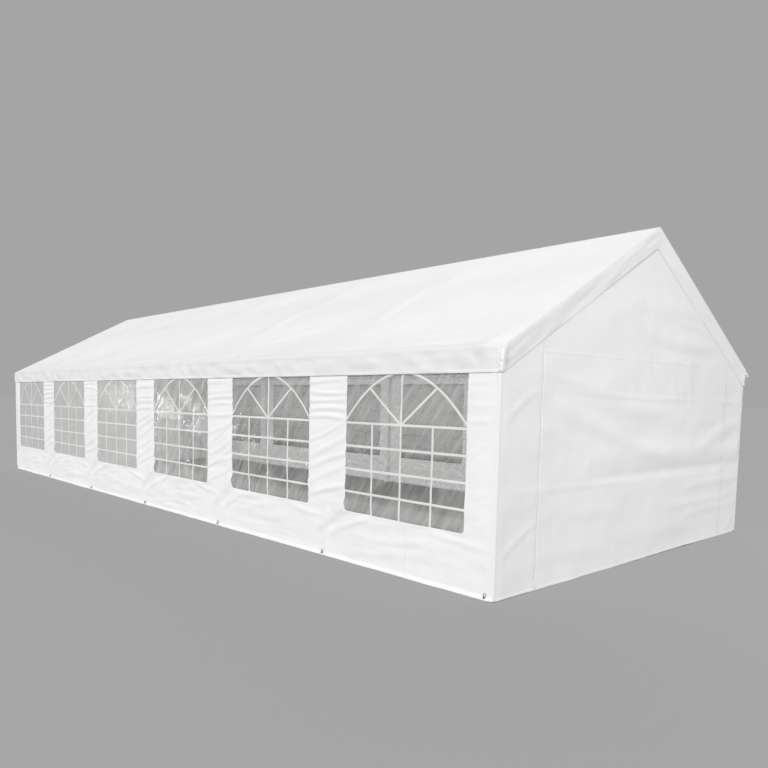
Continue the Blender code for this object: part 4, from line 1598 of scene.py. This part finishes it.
def build_tent():
    groups = {
        "weave": make_weave_group(), "crumple": make_crumple_group(), "cloud": make_cloud_group(),
        "fold": make_fold_shade_group(), "corner": make_corner_shade_group(),
    }
    roof_white = make_tarpaulin("roof_tarpaulin", groups, 0.0, "fold")
    wall_white = make_tarpaulin("wall_tarpaulin", groups, 5.0, "corner")
    vinyl = make_vinyl("white_vinyl", groups, VINYL)
    film = make_clear_film(groups)
    bar_vinyl = make_vinyl("bar_vinyl", groups, BAR_VINYL)
    steel = make_coated_steel(groups)
    coil = make_zip_coil(groups)
    tie_rubber = make_tie_rubber(groups)

    cover = make_roof_cover(roof_white)
    roof_hem = make_roof_hems(vinyl)
    patches = make_corner_patches(roof_white)
    ears = make_corner_ears(roof_white)
    loops = make_corner_loops(vinyl)
    for number, (word, side) in enumerate(SIDES.items()):
        seed = 100 + 400 * number
        wall, surface = make_long_wall(word, side, seed, wall_white)
        hems = make_wall_trims(word, surface, vinyl)
        ties = make_ground_ties(word, side, tie_rubber)
        make_windows(word, side, seed + 200, surface, film, bar_vinyl)
    for word, end in ENDS.items():
        gable, door, surface = make_gable(word, 900 + 60 * (end + 1), wall_white)
        hems = make_gable_trims(word, surface, vinyl)
        zips = make_zips(word, surface, vinyl, coil, steel)
    for index in range(BAYS + 1):
        make_truss(index, steel)
        for word, side in SIDES.items():
            make_leg(word, side, index, steel)
    make_rails(steel)


# The studio and the camera

def hang(name, light, in_gloss):
    holder = bpy.data.objects.new(name, light)
    holder.visible_camera = False
    holder.visible_glossy = in_gloss
    bpy.context.scene.collection.objects.link(holder)
    return holder


def sun(name, strength, direction, softness, in_gloss=True):
    """Light from a direction, as soft as a disc that many degrees across."""
    light = bpy.data.lights.new(name, "SUN")
    light.energy = strength
    light.angle = math.radians(softness)
    holder = hang(name, light, in_gloss)
    holder.rotation_euler = Vector(direction).to_track_quat("Z", "Y").to_euler()


def panel_lamp(name, power, at, towards, size):
    """A flat lamp at a place, which faces another."""
    light = bpy.data.lights.new(name, "AREA")
    light.energy = power
    light.shape = "RECTANGLE"
    light.size, light.size_y = size
    holder = hang(name, light, True)
    holder.location = at
    holder.rotation_euler = (Vector(at) - Vector(towards)).to_track_quat("Z", "Y").to_euler()
    return holder


def light_studio():
    sun("front_key", 2.68, direction=(0.40, -0.76, 0.46), softness=24)
    sun("back_fill", 1.10, direction=(-0.45, 0.75, 0.50), softness=40, in_gloss=False)
    sun("overhead", 0.10, direction=(0.20, 0.10, 0.97), softness=40)
    for word, end in ENDS.items():
        sun(f"end_key_{word}", 0.42, direction=(end * 0.95, 0.28, 0.15), softness=30, in_gloss=False)
        above = (end * 9.2, -end * 1.2, 2.95)
        panel_lamp(f"gable_key_{word}", 17.0, at=above, towards=(end * 6.0, 0.0, 2.4), size=(2.4, 0.5))
    glare_at = (-9.6, -8.45, 1.05)
    glare = panel_lamp("window_glare", 40.0, at=glare_at, towards=(1.0, -2.5, 1.2), size=(0.22, 0.62))
    glare.visible_diffuse = False
    panel_lamp("inside_glow", 65.0, at=(0.0, 0.0, 2.9), towards=(0.0, 0.0, 0.0), size=(11.0, 1.2))
    for word, side in SIDES.items():
        low = (0.0, -side * 0.4, 0.35)
        panel_lamp(f"inside_wash_{word}", 42.0, at=low, towards=(0.0, side * 2.5, 0.55), size=(11.0, 0.5))


def build_room():
    """An even grey room that the camera sees as a plain backdrop."""
    scene = bpy.context.scene
    scene.view_settings.view_transform = "Standard"
    scene.view_settings.look = "None"
    scene.world = bpy.data.worlds.new("studio")
    scene.world.use_nodes = True
    tree = scene.world.node_tree
    seen = tree.nodes["Background"]
    seen.inputs["Color"].default_value = (BACKDROP, BACKDROP, BACKDROP, 1)
    fill = add(tree, "ShaderNodeBackground", {"Color": (ROOM_FILL, ROOM_FILL, ROOM_FILL, 1)})
    seen_directly = add(tree, "ShaderNodeLightPath").outputs["Is Camera Ray"]
    shaders = {0: seen_directly, 1: fill.outputs["Background"], 2: seen.outputs["Background"]}
    room = add(tree, "ShaderNodeMixShader", shaders)
    tree.links.new(room.outputs["Shader"], tree.nodes["World Output"].inputs["Surface"])


def floor_paint(name, glow):
    """Dull paint with an even glow of its own, so that the tent casts hardly any shadow on it."""
    paint = bpy.data.materials.new(name)
    paint.use_nodes = True
    paint.cycles.emission_sampling = "NONE"
    return finish(
        paint, Base_Color=(FLOOR_SHADE, FLOOR_SHADE, FLOOR_SHADE, 1), Roughness=0.9, Specular_IOR_Level=0.0,
        Emission_Color=(1, 1, 1, 1), Emission_Strength=glow,
    )


def build_floor():
    """A pale floor that runs far out. Its middle face, which lies inside the tent, doesn't glow."""
    mesh = bpy.data.meshes.new("floor")
    xs = (-FLOOR_REACH, -WALL_END, WALL_END, FLOOR_REACH)
    ys = (-FLOOR_REACH, -WALL_Y, WALL_Y, FLOOR_REACH)
    mesh.from_pydata([(x, y, 0.0) for y in ys for x in xs], [], grid_faces(len(ys), len(xs)).tolist())
    mesh.materials.append(floor_paint("floor_paint", FLOOR_GLOW))
    mesh.materials.append(floor_paint("floor_in_tent", 0.0))
    mesh.polygons[4].material_index = 1
    floor = bpy.data.objects.new("floor", mesh)
    floor.location.z = FLOOR_Z
    bpy.context.scene.collection.objects.link(floor)


def build_camera():
    """The photograph's camera. Its image centre lies off the lens axis, which the shifts carry."""
    lens = bpy.data.cameras.new("camera")
    lens.sensor_width = 36.0
    lens.lens = FOCAL_PX / PHOTO_PX * lens.sensor_width
    lens.shift_x = (PHOTO_PX / 2 - VIEW_CENTRE_PX[0]) / PHOTO_PX
    lens.shift_y = (VIEW_CENTRE_PX[1] - PHOTO_PX / 2) / PHOTO_PX
    lens.clip_end = 2000.0
    camera = bpy.data.objects.new("camera", lens)
    ahead = Vector((
        -math.sin(CAMERA_AZIMUTH) * math.cos(CAMERA_TILT),
        math.cos(CAMERA_AZIMUTH) * math.cos(CAMERA_TILT),
        math.sin(CAMERA_TILT),
    ))
    level_right = ahead.cross(Vector((0, 0, 1))).normalized()
    level_up = level_right.cross(ahead)
    right = math.cos(CAMERA_ROLL) * level_right + math.sin(CAMERA_ROLL) * level_up
    up = math.cos(CAMERA_ROLL) * level_up - math.sin(CAMERA_ROLL) * level_right
    turn = Matrix((right, up, -ahead)).transposed()
    camera.matrix_world = Matrix.Translation(CAMERA_AT) @ turn.to_4x4()
    bpy.context.scene.collection.objects.link(camera)
    bpy.context.scene.camera = camera


build_tent()
build_room()
build_floor()
light_studio()
build_camera()
